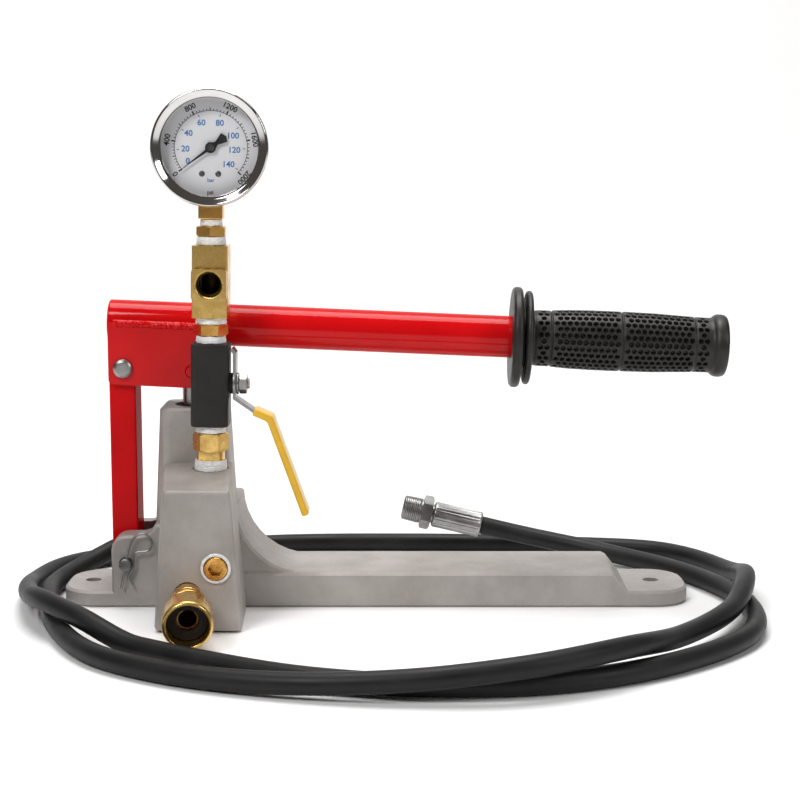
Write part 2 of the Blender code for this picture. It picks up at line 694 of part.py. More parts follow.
def make_handle():
    place = tube_frame()
    tube = [
        (0.0, 0.0), (11.9, 0.0), (TUBE_RADIUS, 0.8), (TUBE_RADIUS, TUBE_LENGTH),
        (TUBE_BORE, TUBE_LENGTH), (TUBE_BORE, 2.5), (0.0, 2.5),
    ]
    lathe("handle_tube", tube, RED, place, 28)

    left = -50.5
    right = 14.0
    drop = 37.3
    outline = [(left, tube_height(left)), (left, tube_height(left) - drop + 2.0)]
    outline += [(left + 2.0, tube_height(left) - drop), (right - 7.0, tube_height(right) - drop)]
    outline += [(right - 2.0, tube_height(right) - drop + 2.0), (right, tube_height(right) - drop + 7.0)]
    outline += [(right, tube_height(right))]
    for name, near, far in (("front", -CHEEK_OUTER, -CHEEK_INNER), ("rear", CHEEK_INNER, CHEEK_OUTER)):
        cheek = side_prism(f"cheek_{name}", outline, near, far, RED)
        middle = near + (far - near) / 2.0
        start = (left + 3.0, middle, tube_height(left + 3.0) + 0.6)
        bead_line = frame_along(start, (math.cos(TUBE_SLOPE), 0, -math.sin(TUBE_SLOPE)), (0, 0, 1))
        bead = rod(f"weld_bead_{name}", 1.35, 0.0, right - left - 6.0, RED, bead_line, 12, 0.5)
        join(cheek, bead)
        cut(
            cheek,
            rod(f"cheek_{name}_hole_a", PIN_HOLE_RADIUS, -20.0, 20.0, RED, along_y(*PIN_A), 24),
            rod(f"cheek_{name}_hole_p", PIN_HOLE_RADIUS, -20.0, 20.0, RED, along_y(*PIN_P), 24),
        )

    grip = [
        (13.0, 243.7), (29.0, 243.7), (30.5, 245.2), (30.5, 248.2), (29.3, 249.7), (19.0, 249.7),
        (18.6, 251.8), (27.3, 251.8), (28.5, 253.0), (28.5, 254.6), (27.3, 255.8), (17.4, 255.8),
        (16.4, 257.0), (16.9, 260.0), (17.0, 267.0), (16.2, 267.7), (17.2, 268.5), (18.15, 290.0),
        (18.15, 309.7), (17.2, 310.5), (18.15, 311.4), (17.9, 330.0), (16.8, 354.0), (16.1, 354.7),
        (16.7, 355.4), (16.6, 364.2), (18.9, 368.0), (19.0, 372.8), (17.8, 374.2), (0.0, 374.2),
        (0.0, 369.6), (13.0, 369.6),
    ]
    lathe("grip_sleeve", grip, RUBBER, place, 24, ring=True)


# ---------------------------------------------------------------- outlet and hose

HOSE_DROP = math.radians(9.0)


def outlet_arm():
    """At the elbow's bend, +Z along its outlet, to the left and a little down."""
    direction = (-math.cos(HOSE_DROP), 0.0, -math.sin(HOSE_DROP))
    return frame_along((0.0, ELBOW_Y, OUTLET_Z), direction, (0.0, 1.0, 0.0))


def make_outlet():
    inward = along_y(0.0, OUTLET_Z)
    elbow = rod("outlet_elbow", 6.5, 27.0, ELBOW_Y, BRASS, inward)
    join(
        elbow,
        prism("elbow_hex", hexagon(15.5), 36.0, 44.0, BRASS, inward),
        lathe("elbow_knee", sphere_profile(8.2, 8), BRASS, Matrix.Translation((0, ELBOW_Y, OUTLET_Z)), 20),
        rod("elbow_arm", 7.6, 0.0, 12.0, BRASS, outlet_arm(), 20, 0.5),
    )
    cut(
        elbow,
        rod("elbow_bore_in", 3.4, 20.0, ELBOW_Y, BRASS, inward, 16),
        rod("elbow_bore_out", 3.4, -2.0, 20.0, BRASS, outlet_arm(), 16),
    )
    arm = outlet_arm()
    make_hose_end("pump", arm @ Matrix.Translation((0, 0, 12.3)), 15.5, 17.6, 0.0)


def make_hose_end(name, place, flats, ferrule_length, thread_length):
    """A hex collar and a crimped ferrule, the hose starting inside the far mouth."""
    hexed = prism(f"hose_stem_{name}", hexagon(flats), 0.0, 7.0, ZINC, place)
    join(hexed, rod(f"stem_neck_{name}", 5.2, 6.0, 11.0, ZINC, place, 24))
    if thread_length:
        threads = [(0.0, -thread_length), (7.6, -thread_length)]
        turns = 5
        for i in range(turns):
            low = -thread_length + 0.6 + i * (thread_length - 1.0) / turns
            threads += [(7.9 + 0.1 * i, low), (8.4 + 0.06 * i, low + 1.2)]
        threads += [(7.6, 0.5), (0.0, 0.5)]
        join(hexed, lathe(f"stem_thread_{name}", threads, ZINC, place, 16))
    cut(hexed, rod(f"stem_bore_{name}", 3.0, -30.0, 20.0, ZINC, place, 16))
    end = 8.0 + ferrule_length
    ferrule = [
        (5.5, 8.0), (7.6, 8.0), (8.6, 9.2), (8.6, 12.0), (7.9, 12.9), (8.7, 14.2), (8.7, 17.0),
        (7.9, 17.9), (8.7, 19.2), (8.7, end - 1.0), (8.0, end), (6.4, end), (6.4, 13.2), (5.5, 13.2),
    ]
    lathe(f"hose_ferrule_{name}", ferrule, ZINC, place, 18, ring=True)


# The hose's centre line from the pump, over the floor in a double loop, to its loose end.
# It humps over itself three times: front right, right end and left front.
HOSE_ROUTE = [
    (-25.5, 58.0, 26.96), (-40.0, 58.0, 24.67), (-56.0, 54.8, 19.3), (-72.0, 43.5, 12.5), (-89.5, 8.0, 6.1),
    (-83.5, -46.0, 6.1), (-67.0, -103.0, 6.1), (-38.0, -153.0, 6.1), (6.0, -186.0, 6.1),
    (66.0, -208.5, 7.6), (130.0, -218.0, 12.0), (190.0, -213.5, 17.8), (243.0, -183.5, 19.2),
    (279.0, -135.0, 12.0), (314.0, -86.0, 13.8), (333.0, -30.0, 19.0), (336.0, 35.0, 7.0),
    (302.0, 95.0, 6.1), (240.0, 112.5, 6.1), (128.0, 122.5, 6.1),
    (20.0, 114.0, 6.1), (-83.0, 66.0, 6.1), (-103.0, 15.0, 6.1),
    (-95.0, -48.0, 13.5), (-78.0, -87.0, 19.0), (-52.0, -115.0, 16.0), (-22.0, -135.0, 6.5),
    (20.0, -164.0, 6.1), (78.0, -194.5, 6.1), (145.0, -207.5, 6.1), (212.0, -199.0, 6.1),
    (272.0, -166.0, 6.1), (322.0, -108.0, 6.1), (331.0, -36.0, 6.1), (307.0, 33.0, 6.1),
    (260.0, 82.0, 8.5), (208.0, 98.0, 16.5), (181.0, 101.5, 22.2), (166.75, 102.0, 25.5),
    (152.5, 102.5, 28.8),
]
HOSE_FLOOR = 6.1


def curve_through(points, per_span):
    """Evenly parted points on a smooth line through every given point (centripetal Catmull-Rom)."""
    given = [Vector(p) for p in points]
    given = [given[0] * 2 - given[1]] + given + [given[-1] * 2 - given[-2]]
    line = []
    for a, b, c, d in zip(given, given[1:], given[2:], given[3:]):
        t1 = (b - a).length ** 0.5
        t2 = t1 + (c - b).length ** 0.5
        t3 = t2 + (d - c).length ** 0.5
        for i in range(per_span):
            t = t1 + (t2 - t1) * i / per_span
            p = a.lerp(b, t / t1)
            q = b.lerp(c, (t - t1) / (t2 - t1))
            r = c.lerp(d, (t - t2) / (t3 - t2))
            p = p.lerp(q, t / t2)
            r = q.lerp(r, (t - t1) / (t3 - t1))
            line.append(p.lerp(r, (t - t1) / (t2 - t1)))
    line.append(given[-2])
    return [Vector((p.x, p.y, max(p.z, HOSE_FLOOR))) for p in line]


def make_hose():
    line = curve_through(HOSE_ROUTE, 2)
    wire("hose", line, HOSE_RADIUS, HOSE, 2)
    end = Vector(HOSE_ROUTE[-1])
    back = (Vector(HOSE_ROUTE[-2]) - end).normalized()
    make_hose_end("free", frame_along(end - back * 13.5, back, (0, 0, 1)), 19.6, 33.0, 13.0)


def pivot(name, centre, *pieces):
    """An empty on a joint's axis, carrying the pieces that move on it."""
    empty = bpy.data.objects.new(name, None)
    empty.location = Vector(centre) * MM
    bpy.context.scene.collection.objects.link(empty)
    for piece in pieces:
        child = bpy.data.objects[piece]
        child.parent = empty
        child.matrix_parent_inverse = Matrix.Translation(-empty.location)


def make_pivots():
    pivot(
        "pivot_handle", (PIN_A[0], 0.0, PIN_A[1]),
        "handle_tube", "cheek_front", "cheek_rear", "upper_pin", "upper_pin_clip", "eye_pin", "eye_pin_clip",
        "grip_sleeve",
    )
    pivot("pivot_link", (PIN_B[0], 0.0, PIN_B[1]), "link_arm")
    pivot("slide_plunger", (0.0, 0.0, PIN_P[1]), "plunger")
    pivot(
        "pivot_valve", column(137.3).translation,
        "valve_lever", "lever_sleeve", "lever_washer", "lever_nut", "valve_stem", "valve_ball",
    )
    pivot("pivot_needle", column(275.0).translation, "gauge_needle", "needle_hub")
    pivot("pivot_swivel", inlet_frame().translation, "inlet_swivel_nut", "inlet_washer")
    pivot("slide_inlet_ball", inlet_frame() @ Vector((0, 0, -16.6)), "inlet_check_ball")
    pivot("slide_outlet_ball", (0.0, 16.9, OUTLET_Z), "outlet_check_ball")


make_casting()
make_plunger()
make_check_balls()
make_inlet()
make_plug()
make_column()
make_lever()
make_gauge()
make_link()
make_eye_pin()
make_handle()
make_outlet()
make_hose()
make_pivots()
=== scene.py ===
"""The looks of the hydraulic hand pump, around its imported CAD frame. Metres, +Z up, as in the frame."""

import json
import math

import bmesh
import bpy
from mathutils import Matrix, Vector, noise


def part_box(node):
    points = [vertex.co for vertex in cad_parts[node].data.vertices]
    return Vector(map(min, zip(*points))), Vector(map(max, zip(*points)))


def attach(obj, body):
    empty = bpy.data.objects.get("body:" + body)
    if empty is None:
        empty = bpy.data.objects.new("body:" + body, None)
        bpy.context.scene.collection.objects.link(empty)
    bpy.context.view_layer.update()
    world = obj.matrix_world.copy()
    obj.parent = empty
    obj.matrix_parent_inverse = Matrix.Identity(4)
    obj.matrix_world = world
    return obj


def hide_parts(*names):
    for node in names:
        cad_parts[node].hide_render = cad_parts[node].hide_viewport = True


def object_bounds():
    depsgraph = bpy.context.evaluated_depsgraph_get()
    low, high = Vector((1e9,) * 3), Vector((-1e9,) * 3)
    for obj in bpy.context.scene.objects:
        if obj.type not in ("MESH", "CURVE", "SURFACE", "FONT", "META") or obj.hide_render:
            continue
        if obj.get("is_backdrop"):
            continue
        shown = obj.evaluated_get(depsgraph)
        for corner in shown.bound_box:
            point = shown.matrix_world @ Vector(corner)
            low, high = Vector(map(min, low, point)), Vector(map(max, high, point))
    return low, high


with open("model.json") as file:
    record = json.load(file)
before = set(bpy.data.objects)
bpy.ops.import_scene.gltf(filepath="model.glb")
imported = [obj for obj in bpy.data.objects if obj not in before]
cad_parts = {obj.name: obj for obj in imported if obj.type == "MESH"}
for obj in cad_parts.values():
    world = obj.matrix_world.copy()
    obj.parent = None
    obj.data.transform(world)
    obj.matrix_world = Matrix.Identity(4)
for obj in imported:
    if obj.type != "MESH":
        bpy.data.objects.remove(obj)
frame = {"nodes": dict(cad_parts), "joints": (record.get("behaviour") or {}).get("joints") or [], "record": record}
CAD_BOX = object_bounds()
NODES = frame["nodes"]
RECORD = frame["record"]
JOINTS = {joint["name"]: joint for joint in frame["joints"]}
SLOTS = {part["node"]: part["material_slot"] for part in RECORD["subparts"]}
BODIES = {node: body for body, members in RECORD["behaviour"]["bodies"].items() for node in members}
MM = 0.001
ROUND_STEPS = 96


# ---------------------------------------------------------------- axes, from the frame's joints

def frame_along(origin, direction, side=(1.0, 0.0, 0.0)):
    """The placing whose +Z points along direction, with +X as near to side as it can be."""
    z = Vector(direction).normalized()
    x = Vector(side)
    x = (x - z * x.dot(z)).normalized()
    turned = Matrix((x, z.cross(x), z)).transposed().to_4x4()
    return Matrix.Translation(Vector(origin)) @ turned


def joint_at(name):
    return Vector(JOINTS[name]["pos_m"])


def joint_axis(name):
    return Vector(JOINTS[name]["axis"])


def middle(node):
    low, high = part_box(node)
    return (low + high) / 2.0


def along_y(point):
    return frame_along((point[0], 0.0, point[2]), (0.0, 1.0, 0.0))


STEM_AT = joint_at("valve_lever_hinge")
DIAL_AT = joint_at("needle_hinge")
COLUMN_UP = (DIAL_AT - STEM_AT).normalized()
ACROSS = Vector((COLUMN_UP.z, 0.0, -COLUMN_UP.x))


def column(height):
    """On the gauge column's axis at a height above the floor, +Z up the column."""
    point = STEM_AT + COLUMN_UP * ((height - STEM_AT.z) / COLUMN_UP.z)
    return frame_along(point, COLUMN_UP)


UPRIGHT = Matrix.Identity(4)
STEM = frame_along(STEM_AT, ACROSS, (0.0, 0.0, 1.0))
GAUGE = frame_along(DIAL_AT, (0.0, -1.0, 0.0), ACROSS)
INLET = frame_along(joint_at("swivel_spin"), joint_axis("swivel_spin"))
PIN_A = along_y(joint_at("handle_hinge"))
PIN_P = along_y(middle("eye_pin"))
PLUG = frame_along(middle("front_plug"), (0.0, -1.0, 4.0 / 82.0))
TUBE_SLOPE = math.radians(2.42)
TUBE_ALONG = Vector((math.cos(TUBE_SLOPE), 0.0, -math.sin(TUBE_SLOPE)))
TUBE_LENGTH = 0.369
TUBE = frame_along(middle("handle_tube") - TUBE_ALONG * (TUBE_LENGTH / 2.0), TUBE_ALONG, (0.0, 0.0, 1.0))

# The hose's centre line, from the elbow at the rear, twice round the pump, to its loose end
HOSE_ROUTE = [
    (-0.0255, 0.058, 0.02696), (-0.040, 0.058, 0.02467), (-0.056, 0.0548, 0.0193), (-0.072, 0.0435, 0.0125),
    (-0.0895, 0.008, 0.0061), (-0.0835, -0.046, 0.0061), (-0.067, -0.103, 0.0061), (-0.038, -0.153, 0.0061),
    (0.006, -0.186, 0.0061), (0.066, -0.2085, 0.0076), (0.130, -0.218, 0.012), (0.190, -0.2135, 0.0178),
    (0.243, -0.1835, 0.0192), (0.279, -0.135, 0.012), (0.314, -0.086, 0.0138), (0.333, -0.030, 0.019),
    (0.336, 0.035, 0.007), (0.302, 0.095, 0.0061), (0.240, 0.1125, 0.0061), (0.128, 0.1225, 0.0061),
    (0.020, 0.114, 0.0061), (-0.083, 0.066, 0.0061), (-0.103, 0.015, 0.0061),
    (-0.095, -0.048, 0.0135), (-0.078, -0.087, 0.019), (-0.052, -0.115, 0.016), (-0.022, -0.135, 0.0065),
    (0.020, -0.164, 0.0061), (0.078, -0.1945, 0.0061), (0.145, -0.2075, 0.0061), (0.212, -0.199, 0.0061),
    (0.272, -0.166, 0.0061), (0.322, -0.108, 0.0061), (0.331, -0.036, 0.0061), (0.307, 0.033, 0.0061),
    (0.260, 0.082, 0.0085), (0.208, 0.098, 0.0165), (0.181, 0.1015, 0.0222), (0.16675, 0.102, 0.0255),
    (0.1525, 0.1025, 0.0288),
]
HOSE_RADIUS = 0.006


def hose_end(point, onward):
    """On the end of the hose, +Z into the hose."""
    return frame_along(point, Vector(onward) - Vector(point), (0.0, 0.0, 1.0))


PUMP_END = hose_end(HOSE_ROUTE[0], HOSE_ROUTE[1])
FREE_END = hose_end(HOSE_ROUTE[-1], HOSE_ROUTE[-2])


# ---------------------------------------------------------------- materials

def shader_node(look, kind, **inputs):
    made = look.node_tree.nodes.new(kind)
    for name, value in inputs.items():
        made.inputs[name.replace("_", " ")].default_value = value
    return made


def connect(look, source, target):
    look.node_tree.links.new(source, target)


def surface(name, colour, metallic, roughness, coat=0.0):
    look = bpy.data.materials.new(name)
    look.use_nodes = True
    shader = look.node_tree.nodes["Principled BSDF"]
    shader.inputs["Base Color"].default_value = (*colour, 1.0)
    shader.inputs["Metallic"].default_value = metallic
    shader.inputs["Roughness"].default_value = roughness
    shader.inputs["Coat Weight"].default_value = coat
    shader.inputs["Coat Roughness"].default_value = 0.08
    return look


def noise_of(look, scale, detail=4.0, stretch=(1.0, 1.0, 1.0)):
    """Noise in the object's own space; scale is in waves per metre."""
    place = shader_node(look, "ShaderNodeTexCoord")
    mapping = shader_node(look, "ShaderNodeMapping", Scale=stretch)
    pattern = shader_node(look, "ShaderNodeTexNoise", Scale=scale, Detail=detail, Roughness=0.6)
    connect(look, place.outputs["Object"], mapping.inputs["Vector"])
    connect(look, mapping.outputs["Vector"], pattern.inputs["Vector"])
    return pattern.outputs["Fac"]


def ramp_of(look, factor, low, high, start=0.3, end=0.7):
    ramp = shader_node(look, "ShaderNodeMapRange", From_Min=start, From_Max=end, To_Min=low, To_Max=high)
    connect(look, factor, ramp.inputs["Value"])
    return ramp.outputs["Result"]


def tint(look, factor, dark, light, start=0.3, end=0.7):
    """Runs the base colour between two colours as the factor goes from start to end."""
    blend = look.node_tree.nodes.new("ShaderNodeValToRGB")
    blend.color_ramp.elements[0].position = start
    blend.color_ramp.elements[1].position = end
    blend.color_ramp.elements[0].color = (*dark, 1.0)
    blend.color_ramp.elements[1].color = (*light, 1.0)
    connect(look, factor, blend.inputs["Fac"])
    connect(look, blend.outputs["Color"], look.node_tree.nodes["Principled BSDF"].inputs["Base Color"])


def roughen(look, factor, low, high):
    shader = look.node_tree.nodes["Principled BSDF"]
    connect(look, ramp_of(look, factor, low, high), shader.inputs["Roughness"])


def bumps(look, *layers):
    """Each layer is (factor, depth in metres, strength)."""
    shader = look.node_tree.nodes["Principled BSDF"]
    before = None
    for factor, depth, strength in layers:
        bump = shader_node(look, "ShaderNodeBump", Strength=strength, Distance=depth)
        connect(look, factor, bump.inputs["Height"])
        if before:
            connect(look, before, bump.inputs["Normal"])
        before = bump.outputs["Normal"]
    connect(look, before, shader.inputs["Normal"])


def cast_look():
    look = surface("sand_cast_aluminium", (0.4, 0.38, 0.36), 0.35, 0.55)
    blotches = noise_of(look, 28.0, 5.0)
    grains = noise_of(look, 900.0, 3.0)
    pits = noise_of(look, 2600.0, 2.0)
    tint(look, blotches, (0.33, 0.305, 0.285), (0.44, 0.415, 0.395), 0.35, 0.68)
    roughen(look, grains, 0.42, 0.68)
    bumps(look, (noise_of(look, 120.0, 4.0), 0.0006, 0.35), (grains, 0.00022, 0.6), (pits, 0.0001, 0.35))
    return look


def paint_look(name, coat):
    look = surface(name, (0.5, 0.006, 0.008), 0.0, 0.14, coat)
    look.node_tree.nodes["Principled BSDF"].inputs["Specular IOR Level"].default_value = 0.0
    cloud = noise_of(look, 22.0, 3.0)
    tint(look, cloud, (0.52, 0.003, 0.005), (0.62, 0.005, 0.007))
    roughen(look, noise_of(look, 60.0, 2.0), 0.10, 0.17)
    bumps(look, (noise_of(look, 90.0, 2.0), 0.0002, 0.12))
    return look


def brass_look(name, dark, light, low, high):
    look = surface(name, light, 1.0, 0.3)
    cloud = noise_of(look, 130.0, 5.0)
    turning = noise_of(look, 700.0, 2.0, (1.0, 1.0, 6.0))
    tint(look, cloud, dark, light, 0.35, 0.65)
    roughen(look, cloud, high, low)
    bumps(look, (turning, 0.00006, 0.35))
    return look


def metal_look(name, dark, light, low, high, scale, depth):
    look = surface(name, light, 1.0, low)
    cloud = noise_of(look, scale, 4.0)
    tint(look, cloud, dark, light)
    roughen(look, cloud, low, high)
    if depth:
        bumps(look, (noise_of(look, scale * 6.0, 2.0), depth, 0.3))
    return look


def dull_look(name, dark, light, low, high, scale, depth, coat=0.0, gloss=0.5):
    look = surface(name, light, 0.0, low, coat)
    look.node_tree.nodes["Principled BSDF"].inputs["Specular IOR Level"].default_value = gloss
    cloud = noise_of(look, scale, 4.0)
    tint(look, cloud, dark, light)
    roughen(look, cloud, low, high)
    if depth:
        bumps(look, (noise_of(look, scale * 5.0, 3.0), depth, 0.5))
    return look


def tape_look():
    look = surface("thread_tape_white", (0.82, 0.82, 0.8), 0.0, 0.4)
    fibres = noise_of(look, 500.0, 5.0, (1.0, 1.0, 4.0))
    tint(look, fibres, (0.62, 0.62, 0.6), (0.9, 0.9, 0.89), 0.3, 0.6)
    bumps(look, (fibres, 0.0002, 0.7))
    return look


def lens_look():
    """A clear window: mostly see-through, with a mirror's share that grows towards its rim."""
    look = bpy.data.materials.new("gauge_window")
    look.use_nodes = True
    nodes = look.node_tree.nodes
    nodes.remove(nodes["Principled BSDF"])
    clear = shader_node(look, "ShaderNodeBsdfTransparent", Color=(0.99, 0.99, 0.995, 1.0))
    gloss = shader_node(look, "ShaderNodeBsdfGlossy", Color=(1.0, 1.0, 1.0, 1.0), Roughness=0.04)
    weight = shader_node(look, "ShaderNodeFresnel", IOR=1.25)
    blend = nodes.new("ShaderNodeMixShader")
    connect(look, weight.outputs["Fac"], blend.inputs["Fac"])
    connect(look, clear.outputs["BSDF"], blend.inputs[1])
    connect(look, gloss.outputs["BSDF"], blend.inputs[2])
    connect(look, blend.outputs["Shader"], nodes["Material Output"].inputs["Surface"])
    return look


CAST = cast_look()
RED = paint_look("red_gloss_paint", 0.4)
FLAT_RED = paint_look("red_paint_on_flats", 0.12)
BRASS = brass_look("machined_brass", (0.58, 0.37, 0.11), (0.80, 0.54, 0.18), 0.2, 0.36)
BRONZE = brass_look("turned_brass", (0.60, 0.30, 0.07), (0.82, 0.47, 0.13), 0.16, 0.32)
# Near-black brass for the insides of the tee's bores and port: painted shade, standing in for the dark of the deep
# holes
BORE_SHADE_BRASS = brass_look("brass_with_painted_bore_shade", (0.030, 0.020, 0.008), (0.060, 0.040, 0.014), 0.4, 0.55)
BLACK = dull_look(
    "matt_black_coat", (0.012, 0.011, 0.009), (0.020, 0.018, 0.015), 0.42, 0.55, 60.0, 0.00008, gloss=0.3,
)
ZINC = metal_look("zinc_plate", (0.24, 0.24, 0.235), (0.40, 0.395, 0.385), 0.28, 0.44, 90.0, 0.00003)
CHROME = metal_look("polished_steel", (0.62, 0.61, 0.60), (0.70, 0.69, 0.68), 0.05, 0.1, 40.0, 0.0)
GROUND = metal_look("ground_steel", (0.26, 0.26, 0.255), (0.36, 0.355, 0.35), 0.22, 0.32, 60.0, 0.00002)
TAPE = tape_look()
RUBBER = dull_look(
    "black_rubber_grip", (0.012, 0.011, 0.010), (0.022, 0.020, 0.019), 0.36, 0.5, 120.0, 0.00008, gloss=0.35,
)
VINYL = dull_look(
    "yellow_dipped_vinyl", (0.72, 0.40, 0.012), (0.84, 0.50, 0.02), 0.3, 0.42, 70.0, 0.00008, coat=0.2,
)
DIAL = dull_look("dial_enamel", (0.93, 0.93, 0.94), (0.97, 0.97, 0.98), 0.4, 0.5, 20.0, 0.0)
IRON = metal_look("dull_steel", (0.10, 0.10, 0.10), (0.16, 0.155, 0.15), 0.35, 0.5, 200.0, 0.00003)
INK = dull_look("black_ink", (0.01, 0.01, 0.01), (0.016, 0.016, 0.016), 0.45, 0.6, 200.0, 0.0)
BLUE = dull_look("blue_ink", (0.035, 0.20, 0.50), (0.05, 0.26, 0.60), 0.45, 0.6, 200.0, 0.0)
LENS = lens_look()
HOSE = dull_look(
    "black_hose_cover", (0.008, 0.008, 0.008), (0.014, 0.014, 0.014), 0.4, 0.55, 45.0, 0.00012, gloss=0.22,
)
SEAT = dull_look("white_seat", (0.72, 0.72, 0.68), (0.8, 0.8, 0.77), 0.4, 0.5, 100.0, 0.0)

LOOKS = {
    "cast_aluminium": CAST,
    "red_paint": RED,
    "brass": BRASS,
    "black_valve": BLACK,
    "zinc_steel": ZINC,
    "polished_steel": CHROME,
    "thread_tape": TAPE,
    "black_rubber": RUBBER,
    "yellow_vinyl": VINYL,
    "dial_face": DIAL,
    "gauge_lens": LENS,
    "needle_black": INK,
    "black_hose": HOSE,
    "valve_seat": SEAT,
}


# ---------------------------------------------------------------- shapes: (vertices, faces) in metres

def lathe(profile, place, steps=ROUND_STEPS, closed=False, ripple=None):
    """Turns (radius, height) points about the placing's +Z. ripple moves a point: (angle, radius, height)."""
    vertices = []
    rows = []
    for radius, height in profile:
        if radius < 1e-6:
            rows.append([len(vertices)])
            vertices.append(place @ Vector((0.0, 0.0, height)))
            continue
        rows.append(list(range(len(vertices), len(vertices) + steps)))
        for i in range(steps):
            angle = math.tau * i / steps
            r, z = ripple(angle, radius, height) if ripple else (radius, height)
            vertices.append(place @ Vector((r * math.cos(angle), r * math.sin(angle), z)))
    if closed:
        rows.append(rows[0])
    faces = []
    for low, high in zip(rows, rows[1:]):
        for i in range(steps):
            j = (i + 1) % steps
            if len(low) == 1 and len(high) > 1:
                faces.append((low[0], high[j], high[i]))
            elif len(high) == 1 and len(low) > 1:
                faces.append((low[i], low[j], high[0]))
            elif len(low) > 1:
                faces.append((low[i], low[j], high[j], high[i]))
    return vertices, faces


def rounded(profile, radius, closed):
    """Rounds a profile's corners, with a few points on each."""
    points = [Vector(p) for p in profile]
    count = len(points)
    result = []
    for i, here in enumerate(points):
        if not closed and i in (0, count - 1):
            result.append(tuple(here))
            continue
        before = points[i - 1] - here
        after = points[(i + 1) % count] - here
        bend = math.pi - before.angle(after)
        if bend < math.radians(14):
            result.append(tuple(here))
            continue
        reach = min(radius, 0.42 * before.length, 0.42 * after.length)
        start = here + before.normalized() * reach
        end = here + after.normalized() * reach
        for t in (0.0, 0.3, 0.7, 1.0):
            result.append(tuple(start.lerp(here, t).lerp(here.lerp(end, t), t)))
    return result


def cad_profile(node, place):
    """The (radius, height) outline of a turned CAD node, in order, and whether it closes on itself."""
    to_local = place.inverted()
    mesh = NODES[node].data
    spots = []
    index = []
    for vertex in mesh.vertices:
        at = to_local @ vertex.co
        spot = Vector((math.hypot(at.x, at.y), at.z))
        known = [i for i, s in enumerate(spots) if (s - spot).length < 3e-5]
        if not known:
            spots.append(spot)
        index.append(known[0] if known else len(spots) - 1)
    near = {i: set() for i in range(len(spots))}
    for edge in mesh.edges:
        a, b = (index[v] for v in edge.vertices)
        if a != b:
            near[a].add(b)
            near[b].add(a)
    ends = [i for i in near if len(near[i]) == 1]
    path = [ends[0] if ends else 0]
    while True:
        onward = [i for i in near[path[-1]] if i not in path]
        if not onward:
            break
        path.append(onward[0])
    profile = [tuple(spots[i]) for i in path]
    closed = not ends
    if not closed:
        if profile[0][0] > 1e-5:
            profile.insert(0, (0.0, profile[0][1]))
        if profile[-1][0] > 1e-5:
            profile.append((0.0, profile[-1][1]))
    return profile, closed


SIXTH_TURN = math.pi / 3.0
HALF_FLAT = math.pi / 6.0
FACE_SHARE = 0.985                      # a nut's round end face, as a share of its width across flats
CORNER_CHAMFER = math.radians(30.0)


def hexagon_radius(angle, flats):
    inside = (angle % SIXTH_TURN) - HALF_FLAT
    return flats / 2.0 / math.cos(inside)


def hex_shape(place, flats, low, high, hole=0.0, turn=0.0, steps=96):
    """A nut's hexagon with its corners turned off at both ends, and a hole if it has one."""
    face = flats / 2.0 * FACE_SHARE
    slope = math.tan(CORNER_CHAMFER)
    rings = [
        lambda a: (face, low),
        lambda a: (hexagon_radius(a, flats), low + (hexagon_radius(a, flats) - face) * slope),
        lambda a: (hexagon_radius(a, flats), high - (hexagon_radius(a, flats) - face) * slope),
        lambda a: (face, high),
    ]
    if hole:
        rings.append(lambda a: (hole, high))
        rings.append(lambda a: (hole, low))
    vertices = []
    for ring in rings:
        for i in range(steps):
            angle = math.tau * i / steps
            r, z = ring(angle + HALF_FLAT)
            at = angle + turn
            vertices.append(place @ Vector((r * math.cos(at), r * math.sin(at), z)))
    faces = []
    count = len(rings)
    for k in range(count if hole else count - 1):
        for i in range(steps):
            j = (i + 1) % steps
            a, b = k * steps, ((k + 1) % count) * steps
            faces.append((a + i, a + j, b + j, b + i))
    if not hole:
        faces.append(tuple(range(steps))[::-1])
        faces.append(tuple(range((count - 1) * steps, count * steps)))
    return vertices, faces


def thread_shape(place, radius, depth, pitch, low, high, taper=0.0, hole=0.0, steps=56):
    """A male thread: a cylinder whose surface rises and falls along a helix."""
    per_turn = 8
    rows = int((high - low) / pitch * per_turn)
    profile = [(hole, low)] if hole else [(0.0, low)]
    profile += [(radius, low + (high - low) * k / rows) for k in range(rows + 1)]
    profile.append((hole, high) if hole else (0.0, high))

    def helix(angle, r, z):
        if r != radius:
            return r, z
        phase = (z / pitch - angle / math.tau) % 1.0
        crest = 1.0 - abs(2.0 * phase - 1.0)
        fade = min(1.0, (z - low) / pitch, (high - z) / pitch)
        return r + taper * (z - low) - depth * (1.0 - min(1.0, 1.6 * crest) * fade), z

    return lathe(profile, place, steps, bool(hole), helix)


def tube_shape(points, radius, sides=16, swell=None):
    """A round rod along points, with flat ends. swell(share, angle) scales its radius."""
    line = [Vector(p) for p in points]
    vertices = []
    side = Vector((0.0, 0.0, 1.0))
    for k, here in enumerate(line):
        along = (line[min(k + 1, len(line) - 1)] - line[max(k - 1, 0)]).normalized()
        if abs(along.dot(side)) > 0.95:
            side = Vector((1.0, 0.0, 0.0)) if k == 0 else side
        side = (side - along * side.dot(along)).normalized()
        other = along.cross(side)
        for i in range(sides):
            angle = math.tau * i / sides
            r = radius * (swell(k / (len(line) - 1), angle) if swell else 1.0)
            vertices.append(here + (side * math.cos(angle) + other * math.sin(angle)) * r)
    faces = []
    for k in range(len(line) - 1):
        for i in range(sides):
            j = (i + 1) % sides
            faces.append((k * sides + i, k * sides + j, (k + 1) * sides + j, (k + 1) * sides + i))
    faces.append(tuple(range(sides))[::-1])
    faces.append(tuple(range((len(line) - 1) * sides, len(line) * sides)))
    return vertices, faces


